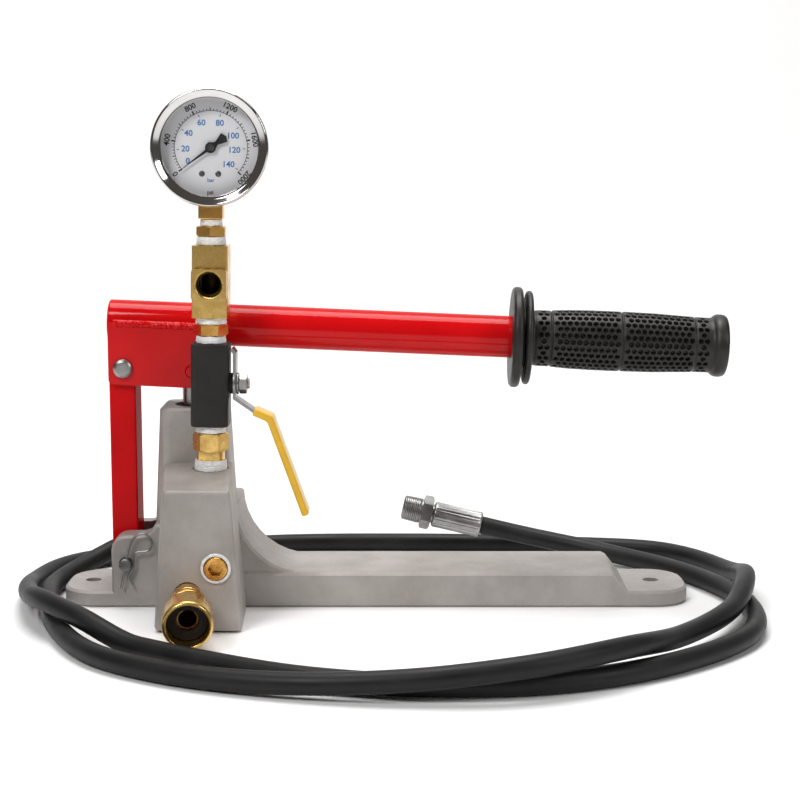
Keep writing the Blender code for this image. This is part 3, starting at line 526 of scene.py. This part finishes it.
def catmull(points, per_span):
    """A smooth line through every given point (centripetal Catmull-Rom)."""
    given = [Vector(p) for p in points]
    given = [given[0] * 2 - given[1]] + given + [given[-1] * 2 - given[-2]]
    line = []
    for a, b, c, d in zip(given, given[1:], given[2:], given[3:]):
        t1 = (b - a).length ** 0.5
        t2 = t1 + (c - b).length ** 0.5
        t3 = t2 + (d - c).length ** 0.5
        for i in range(per_span):
            t = t1 + (t2 - t1) * i / per_span
            p = a.lerp(b, t / t1)
            q = b.lerp(c, (t - t1) / (t2 - t1))
            r = c.lerp(d, (t - t2) / (t3 - t2))
            line.append(p.lerp(q, t / t2).lerp(q.lerp(r, (t - t1) / (t3 - t1)), (t - t1) / (t2 - t1)))
    line.append(given[-2])
    return line


# ---------------------------------------------------------------- pieces

def finish_mesh(mesh, angle=35.0):
    mesh.shade_smooth()
    mesh.set_sharp_from_angle(angle=math.radians(angle))


def register(piece, node, look, replaced):
    piece.data.materials.clear()
    piece.data.materials.append(look)
    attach(piece, BODIES[node])
    if replaced:
        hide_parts(*replaced)
    return piece


def make(name, shapes, node, look=None, replaces=(), angle=35.0):
    """One piece of closed shapes, riding with a CAD node and standing for the nodes it replaces."""
    shape = bmesh.new()
    for vertices, faces in shapes:
        points = [shape.verts.new(v) for v in vertices]
        for face in faces:
            shape.faces.new([points[i] for i in face])
    bmesh.ops.remove_doubles(shape, verts=shape.verts, dist=1e-7)
    bmesh.ops.recalc_face_normals(shape, faces=shape.faces)
    mesh = bpy.data.meshes.new(name)
    shape.to_mesh(mesh)
    shape.free()
    finish_mesh(mesh, angle)
    piece = bpy.data.objects.new(name, mesh)
    bpy.context.scene.collection.objects.link(piece)
    return register(piece, node, look or LOOKS[SLOTS[node]], replaces)


def turned(node, place, soften=0.3, steps=ROUND_STEPS, look=None):
    """A turned CAD node again, with a true round surface and its edges broken by some millimetres."""
    profile, closed = cad_profile(node, place)
    smooth = rounded(profile, soften * MM, closed)
    shape = lathe(smooth, place, steps, closed)
    return make(f"{node}_turned", [shape], node, look, [node])


def softened(node, width, segments=3, look=None, sharp=30.0):
    """A CAD node again, with its edges rounded by a width in millimetres, and clean shading."""
    mesh = NODES[node].data.copy()
    shape = bmesh.new()
    shape.from_mesh(mesh)
    bmesh.ops.remove_doubles(shape, verts=shape.verts, dist=3e-6)
    bmesh.ops.dissolve_limit(shape, angle_limit=math.radians(0.8), verts=shape.verts, edges=shape.edges)
    shape.to_mesh(mesh)
    shape.free()
    piece = bpy.data.objects.new(f"{node}_finished", mesh)
    bpy.context.scene.collection.objects.link(piece)
    step = piece.modifiers.new("edges", "BEVEL")
    step.width = width * MM
    step.segments = segments
    step.limit_method = "ANGLE"
    step.angle_limit = math.radians(sharp)
    step.use_clamp_overlap = True
    mesh.shade_smooth()
    even = piece.modifiers.new("flat_faces", "WEIGHTED_NORMAL")
    even.keep_sharp = True
    evaluated = piece.evaluated_get(bpy.context.evaluated_depsgraph_get())
    final = bpy.data.meshes.new_from_object(evaluated)
    piece.modifiers.clear()
    piece.data = final
    return register(piece, node, look or LOOKS[SLOTS[node]], [node])


# ---------------------------------------------------------------- camera, light, floor

SENSOR_WIDTH = 36.0
IMAGE_WIDTH = 800.0
FOCAL_LENGTH = 1780.0 / IMAGE_WIDTH     # in image widths
CAMERA_AT = (0.1248, -1.077, 0.2755)
CAMERA_DOWN = math.radians(8.1)
FLOOR_HALF_WIDTH = 4.0
FLOOR_FRONT = -3.0
SWEEP_FROM = 1.2                        # where the floor starts to curve up into the backdrop
SWEEP_RADIUS = 0.8
SWEEP_STEPS = 12
BACKDROP_HEIGHT = 3.0
FLOOR_DROP = 0.0002                     # keeps the floor clear of the faces that rest on it


def make_stage():
    camera = bpy.data.objects.new("camera", bpy.data.cameras.new("camera"))
    camera.data.lens = SENSOR_WIDTH * FOCAL_LENGTH
    camera.data.sensor_width = SENSOR_WIDTH
    camera.data.clip_end = 20.0
    camera.location = CAMERA_AT
    camera.rotation_euler = (math.radians(90.0) - CAMERA_DOWN, 0.0, 0.0)
    bpy.context.scene.collection.objects.link(camera)
    bpy.context.scene.camera = camera

    sweep = bmesh.new()
    outline = [(FLOOR_FRONT, 0.0), (SWEEP_FROM, 0.0)]
    for i in range(1, SWEEP_STEPS + 1):
        angle = math.radians(90.0 * i / SWEEP_STEPS)
        outline.append((SWEEP_FROM + SWEEP_RADIUS * math.sin(angle), SWEEP_RADIUS * (1.0 - math.cos(angle))))
    outline.append((SWEEP_FROM + SWEEP_RADIUS, BACKDROP_HEIGHT))
    sides = (-FLOOR_HALF_WIDTH, FLOOR_HALF_WIDTH)
    rows = [[sweep.verts.new((x, y, z)) for y, z in outline] for x in sides]
    for k in range(len(outline) - 1):
        sweep.faces.new((rows[0][k], rows[1][k], rows[1][k + 1], rows[0][k + 1]))
    mesh = bpy.data.meshes.new("floor")
    sweep.to_mesh(mesh)
    sweep.free()
    mesh.shade_smooth()
    floor = bpy.data.objects.new("floor", mesh)
    bpy.context.scene.collection.objects.link(floor)
    floor.location.z = -FLOOR_DROP
    pale = surface("pale_floor", (0.93, 0.93, 0.93), 0.0, 0.7)
    mesh.materials.append(pale)
    floor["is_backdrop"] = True

    world = bpy.data.worlds.new("studio")
    world.use_nodes = True
    background = world.node_tree.nodes["Background"]
    background.inputs["Color"].default_value = (0.95, 0.86, 0.80, 1.0)
    background.inputs["Strength"].default_value = 0.09
    bpy.context.scene.world = world

    lamp("key", (-0.9, -1.5, 1.7), (0.05, 0.0, 0.12), 0.8, 27.0)
    lamp("fill", (1.7, -1.2, 1.1), (0.1, 0.0, 0.1), 0.7, 11.0)
    lamp("top", (0.1, 0.2, 1.9), (0.1, 0.0, 0.0), 1.1, 27.0)
    lamp("backdrop_wash", (0.1, 0.9, 1.9), (0.1, 2.0, 0.4), 2.0, 17.0)
    bpy.context.scene.view_settings.view_transform = "Standard"


def lamp(name, at, towards, size, power):
    """A square soft lamp of a size in metres and a power in watts."""
    light = bpy.data.lights.new(name, "AREA")
    light.size = size
    light.energy = power
    made = bpy.data.objects.new(name, light)
    made.location = at
    made.rotation_euler = (Vector(towards) - Vector(at)).to_track_quat("-Z", "Y").to_euler()
    bpy.context.scene.collection.objects.link(made)


# ---------------------------------------------------------------- hose

CORE_RADIUS = 0.0063                    # the hose's cover, inside a ferrule
STEM_RADIUS = 0.0055
STEM_BORE = 0.003
FERRULE_RADIUS = 0.0087
DIES = 8                                # the crimping tool's jaws
FLOOR_GAP = 0.0001
FREE_HEX_TURN = HALF_FLAT - 0.19


def make_hose():
    """The hose on its route, and its length."""
    line = catmull(HOSE_ROUTE, 8)
    line = [Vector((p.x, p.y, max(p.z, HOSE_RADIUS + FLOOR_GAP))) for p in line]
    curve = bpy.data.curves.new("pressure_hose", "CURVE")
    curve.dimensions = "3D"
    spline = curve.splines.new("POLY")
    spline.points.add(len(line) - 1)
    for target, point in zip(spline.points, line):
        target.co = (*point, 1.0)
    spline.use_smooth = True
    curve.bevel_depth = HOSE_RADIUS
    curve.bevel_resolution = 8
    curve.use_fill_caps = True
    hose = bpy.data.objects.new("pressure_hose", curve)
    bpy.context.scene.collection.objects.link(hose)
    register(hose, "hose", HOSE, ["hose"])
    return hose, sum((b - a).length for a, b in zip(line, line[1:]))


def crimped_ferrule(name, node, place, low, high):
    """A sleeve squeezed by the dies: shallow flats between raised ribs."""
    radius = FERRULE_RADIUS
    profile = [
        (STEM_RADIUS, low), (radius - 0.0010, low), (radius - 0.0002, low + 0.0010), (radius, low + 0.0022),
        (radius, high - 0.0012), (radius - 0.0004, high - 0.0003), (radius - 0.0012, high),
        (CORE_RADIUS, high), (CORE_RADIUS, low + 0.005), (STEM_RADIUS, low + 0.005),
    ]
    outer = rounded(profile, 0.0004, True)
    barrel = 0.007                      # outside this radius the dies have left their marks
    full = []
    for a, b in zip(outer, outer[1:] + outer[:1]):
        full.append(a)
        if abs(b[1] - a[1]) > 0.004 and a[0] > barrel:
            full += [(a[0] + (b[0] - a[0]) * t, a[1] + (b[1] - a[1]) * t) for t in (0.06, 0.5, 0.94)]

    def crimp(angle, r, z):
        if r < barrel:
            return r, z
        rib = abs(math.cos(DIES / 2.0 * angle)) ** 6
        flute = 0.5 + 0.5 * math.cos(3.0 * DIES * angle)
        inside = min(1.0, max(0.0, (z - low - 0.0015) / 0.002), max(0.0, (high - 0.0012 - z) / 0.0015))
        return r - inside * (0.00065 - 0.0003 * rib - 0.00035 * flute), z

    make(name, [lathe(full, place, 192, True, crimp)], node, ZINC, [node])


def collar(place, bore, radius, low, high, steps=48):
    """A plain ring from a bore to a radius."""
    return lathe([(bore, low), (radius, low), (radius, high), (bore, high)], place, steps, True)


def hose_fittings():
    """Both ends: a hexagon, a crimped ferrule, and a pipe thread on the loose one, which is returned."""
    crimped_ferrule("free_ferrule", "hose_ferrule_free", FREE_END, -0.0055, 0.0275)
    bore = STEM_BORE + 0.0001
    lip = [(bore, -0.0265), (0.0068, -0.0265), (0.0082, -0.0254), (0.0082, -0.0248), (bore, -0.0248)]
    stem = [
        hex_shape(FREE_END, 0.0196, -0.0135, -0.0065, STEM_BORE, FREE_HEX_TURN),
        collar(FREE_END, STEM_BORE, 0.0062, -0.0067, -0.0052),
        thread_shape(FREE_END, 0.0083, 0.0006, 0.0013, -0.0255, -0.0139, 0.03, bore, 72),
        lathe(rounded(lip, 0.0004, True), FREE_END, 72, True),
        collar(FREE_END, bore, 0.0081, -0.0141, -0.0133),
    ]
    free = make("free_stem", stem, "hose_stem_free", ZINC, ["hose_stem_free"])
    crimped_ferrule("pump_ferrule", "hose_ferrule_pump", PUMP_END, -0.0055, 0.0121)
    stem = [
        hex_shape(PUMP_END, 0.0155, -0.0135, -0.0065, STEM_BORE, HALF_FLAT),
        collar(PUMP_END, STEM_BORE, 0.0052, -0.0067, -0.0025),
    ]
    make("pump_stem", stem, "hose_stem_pump", ZINC, ["hose_stem_pump"])
    return free


# ---------------------------------------------------------------- gauge

SWEEP_START = math.radians(217.0)
FIRST_FIFTH = math.radians(46.0)
OTHER_FIFTHS = math.radians(53.1)
FACE = 0.0038                           # the dial's face along the gauge's axis, and its print's thickness
PRINT = 0.00006


def dial_angle(share):
    """Where a share of the full scale lies on the dial, anticlockwise from the reader's right."""
    fifths = 5.0 * share
    return SWEEP_START - FIRST_FIFTH * min(fifths, 1.0) - OTHER_FIFTHS * max(fifths - 1.0, 0.0)


def tick(share, inner, outer, width):
    """A printed mark across the scale."""
    low, high = FACE, FACE + PRINT
    turn = GAUGE @ Matrix.Rotation(dial_angle(share), 4, "Z")
    corners = [(inner, -width), (outer, -width), (outer, width), (inner, width)]
    vertices = [turn @ Vector((x, y / 2.0, low)) for x, y in corners]
    vertices += [turn @ Vector((x, y / 2.0, high)) for x, y in corners]
    faces = [(3, 2, 1, 0), (4, 5, 6, 7), (0, 1, 5, 4), (1, 2, 6, 5), (2, 3, 7, 6), (3, 0, 4, 7)]
    return vertices, faces


def lettering(text, size, x, y, turn=0.0):
    """A short line of raised print, centred on (x, y) of the dial."""
    curve = bpy.data.curves.new(text, "FONT")
    curve.body = text
    curve.size = size
    curve.align_x = "CENTER"
    curve.align_y = "CENTER"
    curve.extrude = PRINT / 2.0
    curve.offset = size * 0.022
    curve.resolution_u = 3
    holder = bpy.data.objects.new(text, curve)
    bpy.context.scene.collection.objects.link(holder)
    bpy.context.view_layer.update()
    mesh = bpy.data.meshes.new_from_object(holder.evaluated_get(bpy.context.evaluated_depsgraph_get()))
    place = GAUGE @ Matrix.Translation((x, y, FACE + PRINT / 2.0)) @ Matrix.Rotation(turn, 4, "Z")
    vertices = [place @ v.co for v in mesh.vertices]
    faces = [tuple(p.vertices) for p in mesh.polygons]
    bpy.data.objects.remove(holder)
    bpy.data.meshes.remove(mesh)
    bpy.data.curves.remove(curve)
    return vertices, faces


def make_gauge():
    # The bezel's band slopes in from a rounded outer lip to the window
    bezel = [
        (0.0323, 0.0078), (0.0340, 0.0078), (0.0340, 0.0136), (0.0332, 0.0146), (0.0324, 0.0146),
        (0.0292, 0.0126), (0.0280, 0.0126), (0.0280, 0.0120), (0.0305, 0.0120), (0.0323, 0.0100),
    ]
    ring = lathe(rounded(bezel, 0.0005, True), GAUGE, 160, True)
    make("bezel_ring", [ring], "gauge_bezel", CHROME, ["gauge_bezel"])
    softened("gauge_case", 0.4)
    turned("gauge_lens", GAUGE, 0.3, 128)
    turned("gauge_dial", GAUGE, 0.05, 128)
    hub = [(0.0, 0.0056), (0.0030, 0.0056), (0.0030, 0.0063), (0.0027, 0.0066), (0.0, 0.0066)]
    make("pointer_boss", [lathe(hub, GAUGE, 64)], "needle_hub", INK)
    cap = [(0.0, 0.0062), (0.0022, 0.0062), (0.0022, 0.0069), (0.0018, 0.0072), (0.0, 0.0072)]
    make("hub_cap", [lathe(cap, GAUGE, 64)], "needle_hub", IRON, ["needle_hub"])
    outer_scale()
    inner_scale()

    heads = []
    for x in (-0.0052, 0.0043):
        spot = GAUGE @ Matrix.Translation((x, -0.0151, FACE))
        profile = [(0.0, -0.0004), (0.0017, -0.0004), (0.0017, 0.0003), (0.0012, 0.0006), (0.0, 0.0007)]
        heads.append(lathe(profile, spot, 32))
    make("dial_screws", heads, "gauge_dial", IRON)

    needle = GAUGE @ Matrix.Rotation(SWEEP_START, 4, "Z")
    outline = [
        (0.0228, 0.0), (0.0034, 0.0008), (0.0024, 0.0022), (0.0010, 0.0031), (-0.0010, 0.0031),
        (-0.0026, 0.0018), (-0.0042, 0.0011), (-0.0098, 0.0031), (-0.0112, 0.0002),
    ]
    outline += [(x, -y) for x, y in outline[::-1] if y > 0.0001 or x < 0][1:]
    make("pointer", [plate(outline, needle, 0.0054, 0.0059)], "gauge_needle", INK, ["gauge_needle"])


def outer_scale():
    """The black scale: 50 ticks on a circle, a figure at every tenth, and its unit."""
    black = []
    for i in range(51):
        major = i % 10 == 0
        half = i % 5 == 0
        inner = 0.0208 if major else 0.0211
        outer = 0.0232 if major else 0.0228 if half else 0.0223
        width = 0.00085 if major else 0.00055 if half else 0.00042
        black.append(tick(i / 50.0, inner, outer, width))
    black.append(arc_strip([(0.0210, FACE), (0.0213, FACE), (0.0213, FACE + PRINT), (0.0210, FACE + PRINT)]))
    figures_at = 0.0256
    for i, label in enumerate(("0", "400", "800", "1200", "1600", "2000")):
        angle = dial_angle(i / 5.0)
        spot = (figures_at * math.cos(angle), figures_at * math.sin(angle))
        black.append(lettering(label, 0.0045, *spot, angle - math.pi / 2.0))
    black.append(lettering("psi", 0.0034, -0.0003, -0.0258))
    make("dial_print_black", black, "gauge_dial", INK)


def inner_scale():
    """The blue scale: upright figures in steps of 20, each at its own angle and radius, with its tick."""
    blue = []
    figures = (
        (211, 15.6), (184, 14.8), (148.5, 15.2), (111.5, 15.1), (70, 14.9), (28.5, 14.4), (-5.5, 13.5),
        (-43.5, 13.9),
    )
    for i, (degrees, radius) in enumerate(figures):
        angle = math.radians(degrees)
        spot = (radius * MM * math.cos(angle), radius * MM * math.sin(angle))
        blue.append(lettering(str(20 * i), 0.0048, *spot))
        blue.append(tick(i / 7.0 * 0.99, 0.0184, 0.0199, 0.00045))
    blue.append(lettering("bar", 0.0032, 0.0, -0.0188))
    make("dial_print_blue", blue, "gauge_dial", BLUE)


def arc_strip(section):
    """The printed circle that the scale's ticks stand on."""
    vertices = []
    steps = 120
    for i in range(steps + 1):
        angle = dial_angle(i / steps)
        for radius, height in section:
            vertices.append(GAUGE @ Vector((radius * math.cos(angle), radius * math.sin(angle), height)))
    faces = [(0, 1, 2, 3), tuple(4 * steps + k for k in (3, 2, 1, 0))]
    for i in range(steps):
        for k in range(4):
            a, b = 4 * i + k, 4 * i + (k + 1) % 4
            faces.append((a, b, b + 4, a + 4))
    return vertices, faces


def plate(outline, place, low, high):
    """A flat shape of an outline between two heights."""
    count = len(outline)
    vertices = [place @ Vector((x, y, low)) for x, y in outline]
    vertices += [place @ Vector((x, y, high)) for x, y in outline]
    faces = [tuple(range(count))[::-1], tuple(range(count, 2 * count))]
    for i in range(count):
        j = (i + 1) % count
        faces.append((i, j, count + j, count + i))
    return vertices, faces


# ---------------------------------------------------------------- column

PIPE_THREAD = (0.0074, 0.0005, 0.00141)     # radius, depth and pitch
NIPPLE_BORE = 0.004
BUSHING_BORE = 0.0057
TAPE_THICKNESS = 0.0016


def span_along(node, place):
    """A node's lowest and highest point along a placing's +Z."""
    to_local = place.inverted()
    heights = [(to_local @ v.co).z for v in NODES[node].data.vertices]
    return min(heights), max(heights)


def make_tape(node, place, seed, skirt=0.0006):
    """Thread tape: a wound band with wrinkles, ridges and an uneven edge."""
    low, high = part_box(node)
    outer = (high.x - low.x) / 2.0
    bottom, top = span_along(node, place)
    inner = outer - TAPE_THICKNESS
    rows = 16
    profile = [(inner, bottom)]
    profile += [(outer, bottom + (top - bottom) * k / rows) for k in range(rows + 1)]
    profile.append((inner, top))

    def wrinkle(angle, r, z):
        if r == inner:
            return r, z
        share = (z - bottom) / (top - bottom)
        at = Vector((math.cos(angle) * 2.6, math.sin(angle) * 2.6, share * 2.4 + seed))
        fine = noise.noise(at * 2.7)
        ridge = noise.noise(Vector((math.cos(angle), math.sin(angle), share * 9.0 + seed)))
        swell = 0.00032 * ridge + 0.00018 * fine - 0.00042 * share ** 2
        edge = 0.0005 * noise.noise(at * 1.7 + Vector((5.0, 0.0, 0.0))) * (share - 0.5) * 2.0
        return r - skirt * 0.5 + swell, z + edge * (1.0 if 0.0 < share < 1.0 else 0.6)

    make(f"{node}_wound", [lathe(profile, place, 120, True, wrinkle)], node, TAPE, [node], 60.0)


def pipe_thread(place, low, high, bore):
    return thread_shape(place, *PIPE_THREAD, low, high, 0.0, bore)


def make_column():
    base = column(0.0854)
    tapes = (
        "base_tape", "valve_tape_lower", "valve_tape_upper", "tee_tape_lower", "tee_tape_upper", "gauge_tape",
    )
    for i, node in enumerate(tapes):
        make_tape(node, base, 3.1 * i)
    make_tape("front_plug_tape", PLUG, 40.0, 0.0002)

    foot = [
        (NIPPLE_BORE, -0.014), (0.0074, -0.014), (0.0078, -0.0005), (0.00825, 0.0065), (0.00825, 0.0122),
        (NIPPLE_BORE, 0.0122),
    ]
    lower = [
        lathe(rounded(foot, 0.0003, True), base, 72, True),
        hex_shape(base, 0.0186, 0.0116, 0.0225, NIPPLE_BORE, HALF_FLAT),
        pipe_thread(base, 0.022, 0.034, NIPPLE_BORE),
    ]
    make("lower_nipple_turned", lower, "lower_nipple", BRASS, ["lower_nipple"])

    at = column(0.1657)
    nipple = [
        hex_shape(at, 0.0174, 0.0, 0.0068, NIPPLE_BORE, HALF_FLAT),
        pipe_thread(at, -0.012, 0.0004, NIPPLE_BORE),
        pipe_thread(at, 0.0064, 0.019, NIPPLE_BORE),
    ]
    make("hex_nipple_turned", nipple, "hex_nipple", BRONZE, ["hex_nipple"])

    at = column(0.2238)
    bushing = [
        hex_shape(at, 0.0166, 0.0, 0.0059, BUSHING_BORE),
        pipe_thread(at, -0.0125, 0.0004, BUSHING_BORE),
    ]
    make("hex_bushing_turned", bushing, "hex_bushing", BRONZE, ["hex_bushing"])
    softened("gauge_socket", 0.5, look=BRONZE)
    make_tee(base)
    softened("valve_body", 0.35, 2)
    turned("lower_seat", base, 0.2, 48)
    turned("upper_seat", base, 0.2, 48)
    softened("valve_ball", 0.2, 1, sharp=50.0)
    softened("bourdon_tube", 0.1, 1, sharp=60.0)


def make_tee(axis):
    """The tee, bright outside, with painted shade in its bores: their faces get near-black brass."""
    tee = softened("tee_body", 0.8, 1)
    tee.data.materials.append(BORE_SHADE_BRASS)
    to_axis = axis.inverted()
    bore_reach = 0.0085
    # Faces near the column's axis that face neither up nor down are the bore walls; they get the near-black brass,
    # which is painted shade
    for face in tee.data.polygons:
        at = to_axis @ face.center
        if math.hypot(at.x, at.y) < bore_reach and abs(face.normal.dot(COLUMN_UP)) < 0.5:
            face.material_index = 1
    tee_port_thread()


def tee_port_thread():
    """The female thread inside the tee's open front port, which leads into the run's bore; its near-black brass is
    painted shade.
    """
    port = column(0.1964) @ frame_along((0.0, 0.0, 0.0), (0.0, -1.0, 0.0))
    pitch, crest, start, end = 0.0014, 0.0067, 0.0098, 0.0146
    rows = 28
    profile = [(0.0064, 0.0036), (0.0062, 0.0036), (0.0062, 0.0096)]
    profile += [(crest, start + (end - start) * k / rows) for k in range(rows + 1)]
    profile += [(0.00729, end), (0.00729, 0.0096), (0.0064, 0.0096)]

    def helix(angle, r, z):
        if r != crest:
            return r, z
        phase = (z / pitch - angle / math.tau) % 1.0
        return r + 0.00045 * (1.0 - abs(2.0 * phase - 1.0)), z

    make("tee_port_thread", [lathe(profile, port, 72, True, helix)], "tee_body", BORE_SHADE_BRASS)


def make_lever():
    softened("valve_lever", 0.4, 2)
    softened("lever_sleeve", 0.9, 4)
    turned("lever_washer", STEM, 0.25, 64)
    nut = hex_shape(STEM, 0.0106, 0.0169, 0.0214, 0.0035, HALF_FLAT)
    make("lever_nut_turned", [nut], "lever_nut", ZINC, ["lever_nut"])
    radius = 0.0032
    shank = [(0.0, 0.0074), (radius, 0.0074), (radius, 0.0156), (0.0, 0.0156)]
    stem = [
        thread_shape(STEM, radius, 0.0003, 0.0008, 0.0152, 0.0229),
        lathe(rounded(shank, 0.0003, False), STEM, 48),
    ]
    make("valve_stem_turned", stem, "valve_stem", ZINC, ["valve_stem"])


# ---------------------------------------------------------------- body, inlet, plug, outlet

def make_body():
    """The casting and what is screwed or fitted into it."""
    softened("body_casting", 0.8, 3, sharp=40.0)
    turned("rod_packing", UPRIGHT, 0.4, 64)
    turned("gland_nut", UPRIGHT, 0.4, 96)
    softened("plunger", 0.25, 2, GROUND)
    balls = {"inlet_check_ball": joint_axis("swivel_spin"), "outlet_check_ball": (0.0, 1.0, 0.0)}
    for node, axis in balls.items():
        turned(node, frame_along(middle(node), axis), 0.0, 48)
    turned("inlet_adapter", INLET, 0.5, 96, BRONZE)
    turned("inlet_swivel_nut", INLET, 0.5, 128, BRASS)
    turned("inlet_washer", INLET, 0.3, 64)
    softened("front_plug", 0.3, 3, look=BRONZE)
    softened("outlet_elbow", 0.4, 2)


def make_linkage():
    softened("link_arm", 0.7, 3, FLAT_RED)
    for side in ("front", "rear"):
        softened(f"cheek_{side}", 0.5, 3)
    turned("upper_pin", PIN_A, 0.35, 64)
    turned("upper_pin_clip", PIN_A, 0.2, 48)
    turned("eye_pin", PIN_P, 0.3, 64)
    turned("eye_pin_clip", PIN_P, 0.2, 48)
    softened("lower_pin", 0.2, 2)
    hitch_clip()


def hitch_clip():
    """The spring wire clip through the lower pin: a straight leg, a round head and a waved leg."""
    leg = [(-2.7, -14.6), (-0.55, -4.6), (0.3, 0.0), (1.15, 4.4), (2.4, 9.4), (4.6, 14.8), (6.7, 17.4)]
    head = [(10.2, 19.0), (13.6, 18.0), (15.7, 15.1), (15.9, 11.7), (14.4, 8.9), (11.3, 8.0)]
    wave = [
        (8.0, 7.8), (5.9, 6.6), (5.2, 4.4), (5.4, 1.6), (5.2, -1.0), (3.8, -3.8), (2.0, -7.0), (2.5, -9.8),
        (4.2, -12.8),
    ]
    pin = joint_at("link_hinge")
    level = middle("hitch_clip").y
    points = [(pin.x + x * MM, level, pin.z + z * MM) for x, z in leg + head + wave]
    wire = tube_shape(catmull(points, 6), 0.0007, 14)
    make("spring_clip", [wire], "hitch_clip", ZINC, ["hitch_clip"])


def make_handle():
    turned("handle_tube", TUBE, 0.6, 128)
    for side, sign in (("front", -1.0), ("rear", 1.0)):
        weld_bead(side, sign)
    make_grip()


def weld_bead(side, sign):
    """A rippled weld between the tube and a cheek, under the paint."""
    low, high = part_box(f"cheek_{side}")
    outside = sign * 0.0146
    start = TUBE.translation + TUBE_ALONG * 0.004
    length = high.x - low.x - 0.007
    points = []
    steps = 90
    radius = 0.0023
    for i in range(steps + 1):
        along = start + TUBE_ALONG * (length * i / steps)
        drift = 0.00025 * noise.noise(Vector((i * 0.22, sign, 3.0)))
        points.append((along.x, outside + drift, along.z - 0.0005 + drift))

    def ripple(share, angle):
        ends = min(1.0, 14.0 * share + 0.25, 14.0 * (1.0 - share) + 0.25)
        lumps = noise.noise(Vector((share * 30.0, angle, sign)))
        return ends * (1.0 + 0.10 * math.sin(share * 150.0) + 0.1 * lumps)

    make(f"weld_{side}", [tube_shape(points, radius, 20, ripple)], f"cheek_{side}", RED)


def make_grip():
    """The rubber sleeve: a two-ring hand guard and a waisted barrel full of round pits."""
    outline = [
        (13.0, 243.7), (29.0, 243.7), (30.5, 245.2), (30.5, 248.2), (29.3, 249.7), (19.0, 249.7),
        (18.6, 251.8), (27.3, 251.8), (28.5, 253.0), (28.5, 254.6), (27.3, 255.8), (17.4, 255.8),
        (16.5, 257.0), (16.9, 259.0), (17.0, 267.0), (16.2, 267.7), (17.2, 268.4), (17.8, 279.0),
        (18.15, 292.0), (18.15, 309.7), (17.2, 310.5), (18.15, 311.3), (17.9, 330.0), (16.8, 354.0),
        (16.1, 354.7), (16.7, 355.4), (16.6, 363.4), (16.8, 365.2), (18.2, 366.6), (18.95, 368.2),
        (19.0, 371.0), (18.6, 373.0), (17.6, 374.2), (0.0, 374.2), (0.0, 369.6), (13.0, 369.6),
    ]
    smooth = rounded([(r * MM, z * MM) for r, z in outline], 0.0007, True)
    fine = []
    step = 0.0003
    skin_low, skin_high = 0.0158, 0.0187        # the barrel's outer surface lies between these radii
    for a, b in zip(smooth, smooth[1:] + smooth[:1]):
        fine.append(a)
        outside = skin_low < min(a[0], b[0]) and max(a[0], b[0]) < skin_high and 0.2565 < a[1] < 0.366
        count = int(abs(b[1] - a[1]) / step) if outside else 0
        for k in range(1, count):
            fine.append((a[0] + (b[0] - a[0]) * k / count, a[1] + (b[1] - a[1]) * k / count))
    pitch = 0.00385
    rows = 28
    edge = 0.0016
    slack = 0.0002
    pit_radius, pit_depth, pit_wall = 0.0015, 0.0024, 0.0003
    bands = ((0.2592, 0.2670), (0.2690, 0.3095), (0.3116, 0.3536), (0.3554, 0.3632))

    def pits(angle, r, z):
        if not skin_low < r < skin_high:
            return r, z
        depth = 0.0
        for start, end in bands:
            if not start < z < end:
                continue
            row = round(angle / math.tau * rows)
            shift = 0.5 * (row % 2)
            column_at = start + edge + (round((z - start - edge) / pitch - shift) + shift) * pitch
            if not start + edge - slack < column_at < end - edge + slack:
                continue
            across = (angle - row * math.tau / rows) * r
            distance = math.hypot(z - column_at, across)
            depth = pit_depth * min(1.0, max(0.0, (pit_radius - distance) / pit_wall))
        return r - depth, z

    shape = lathe(fine, TUBE, 336, True, pits)
    make("rubber_grip", [shape], "grip_sleeve", RUBBER, ["grip_sleeve"], 45.0)


# ---------------------------------------------------------------- everything

make_stage()
hose, hose_length = make_hose()
loose_fitting = hose_fittings()
make_gauge()
make_column()
make_lever()
make_body()
make_linkage()
make_handle()

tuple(HOSE_ROUTE[0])

corners = [[list(corner) for corner in box] for box in (CAD_BOX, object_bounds())]
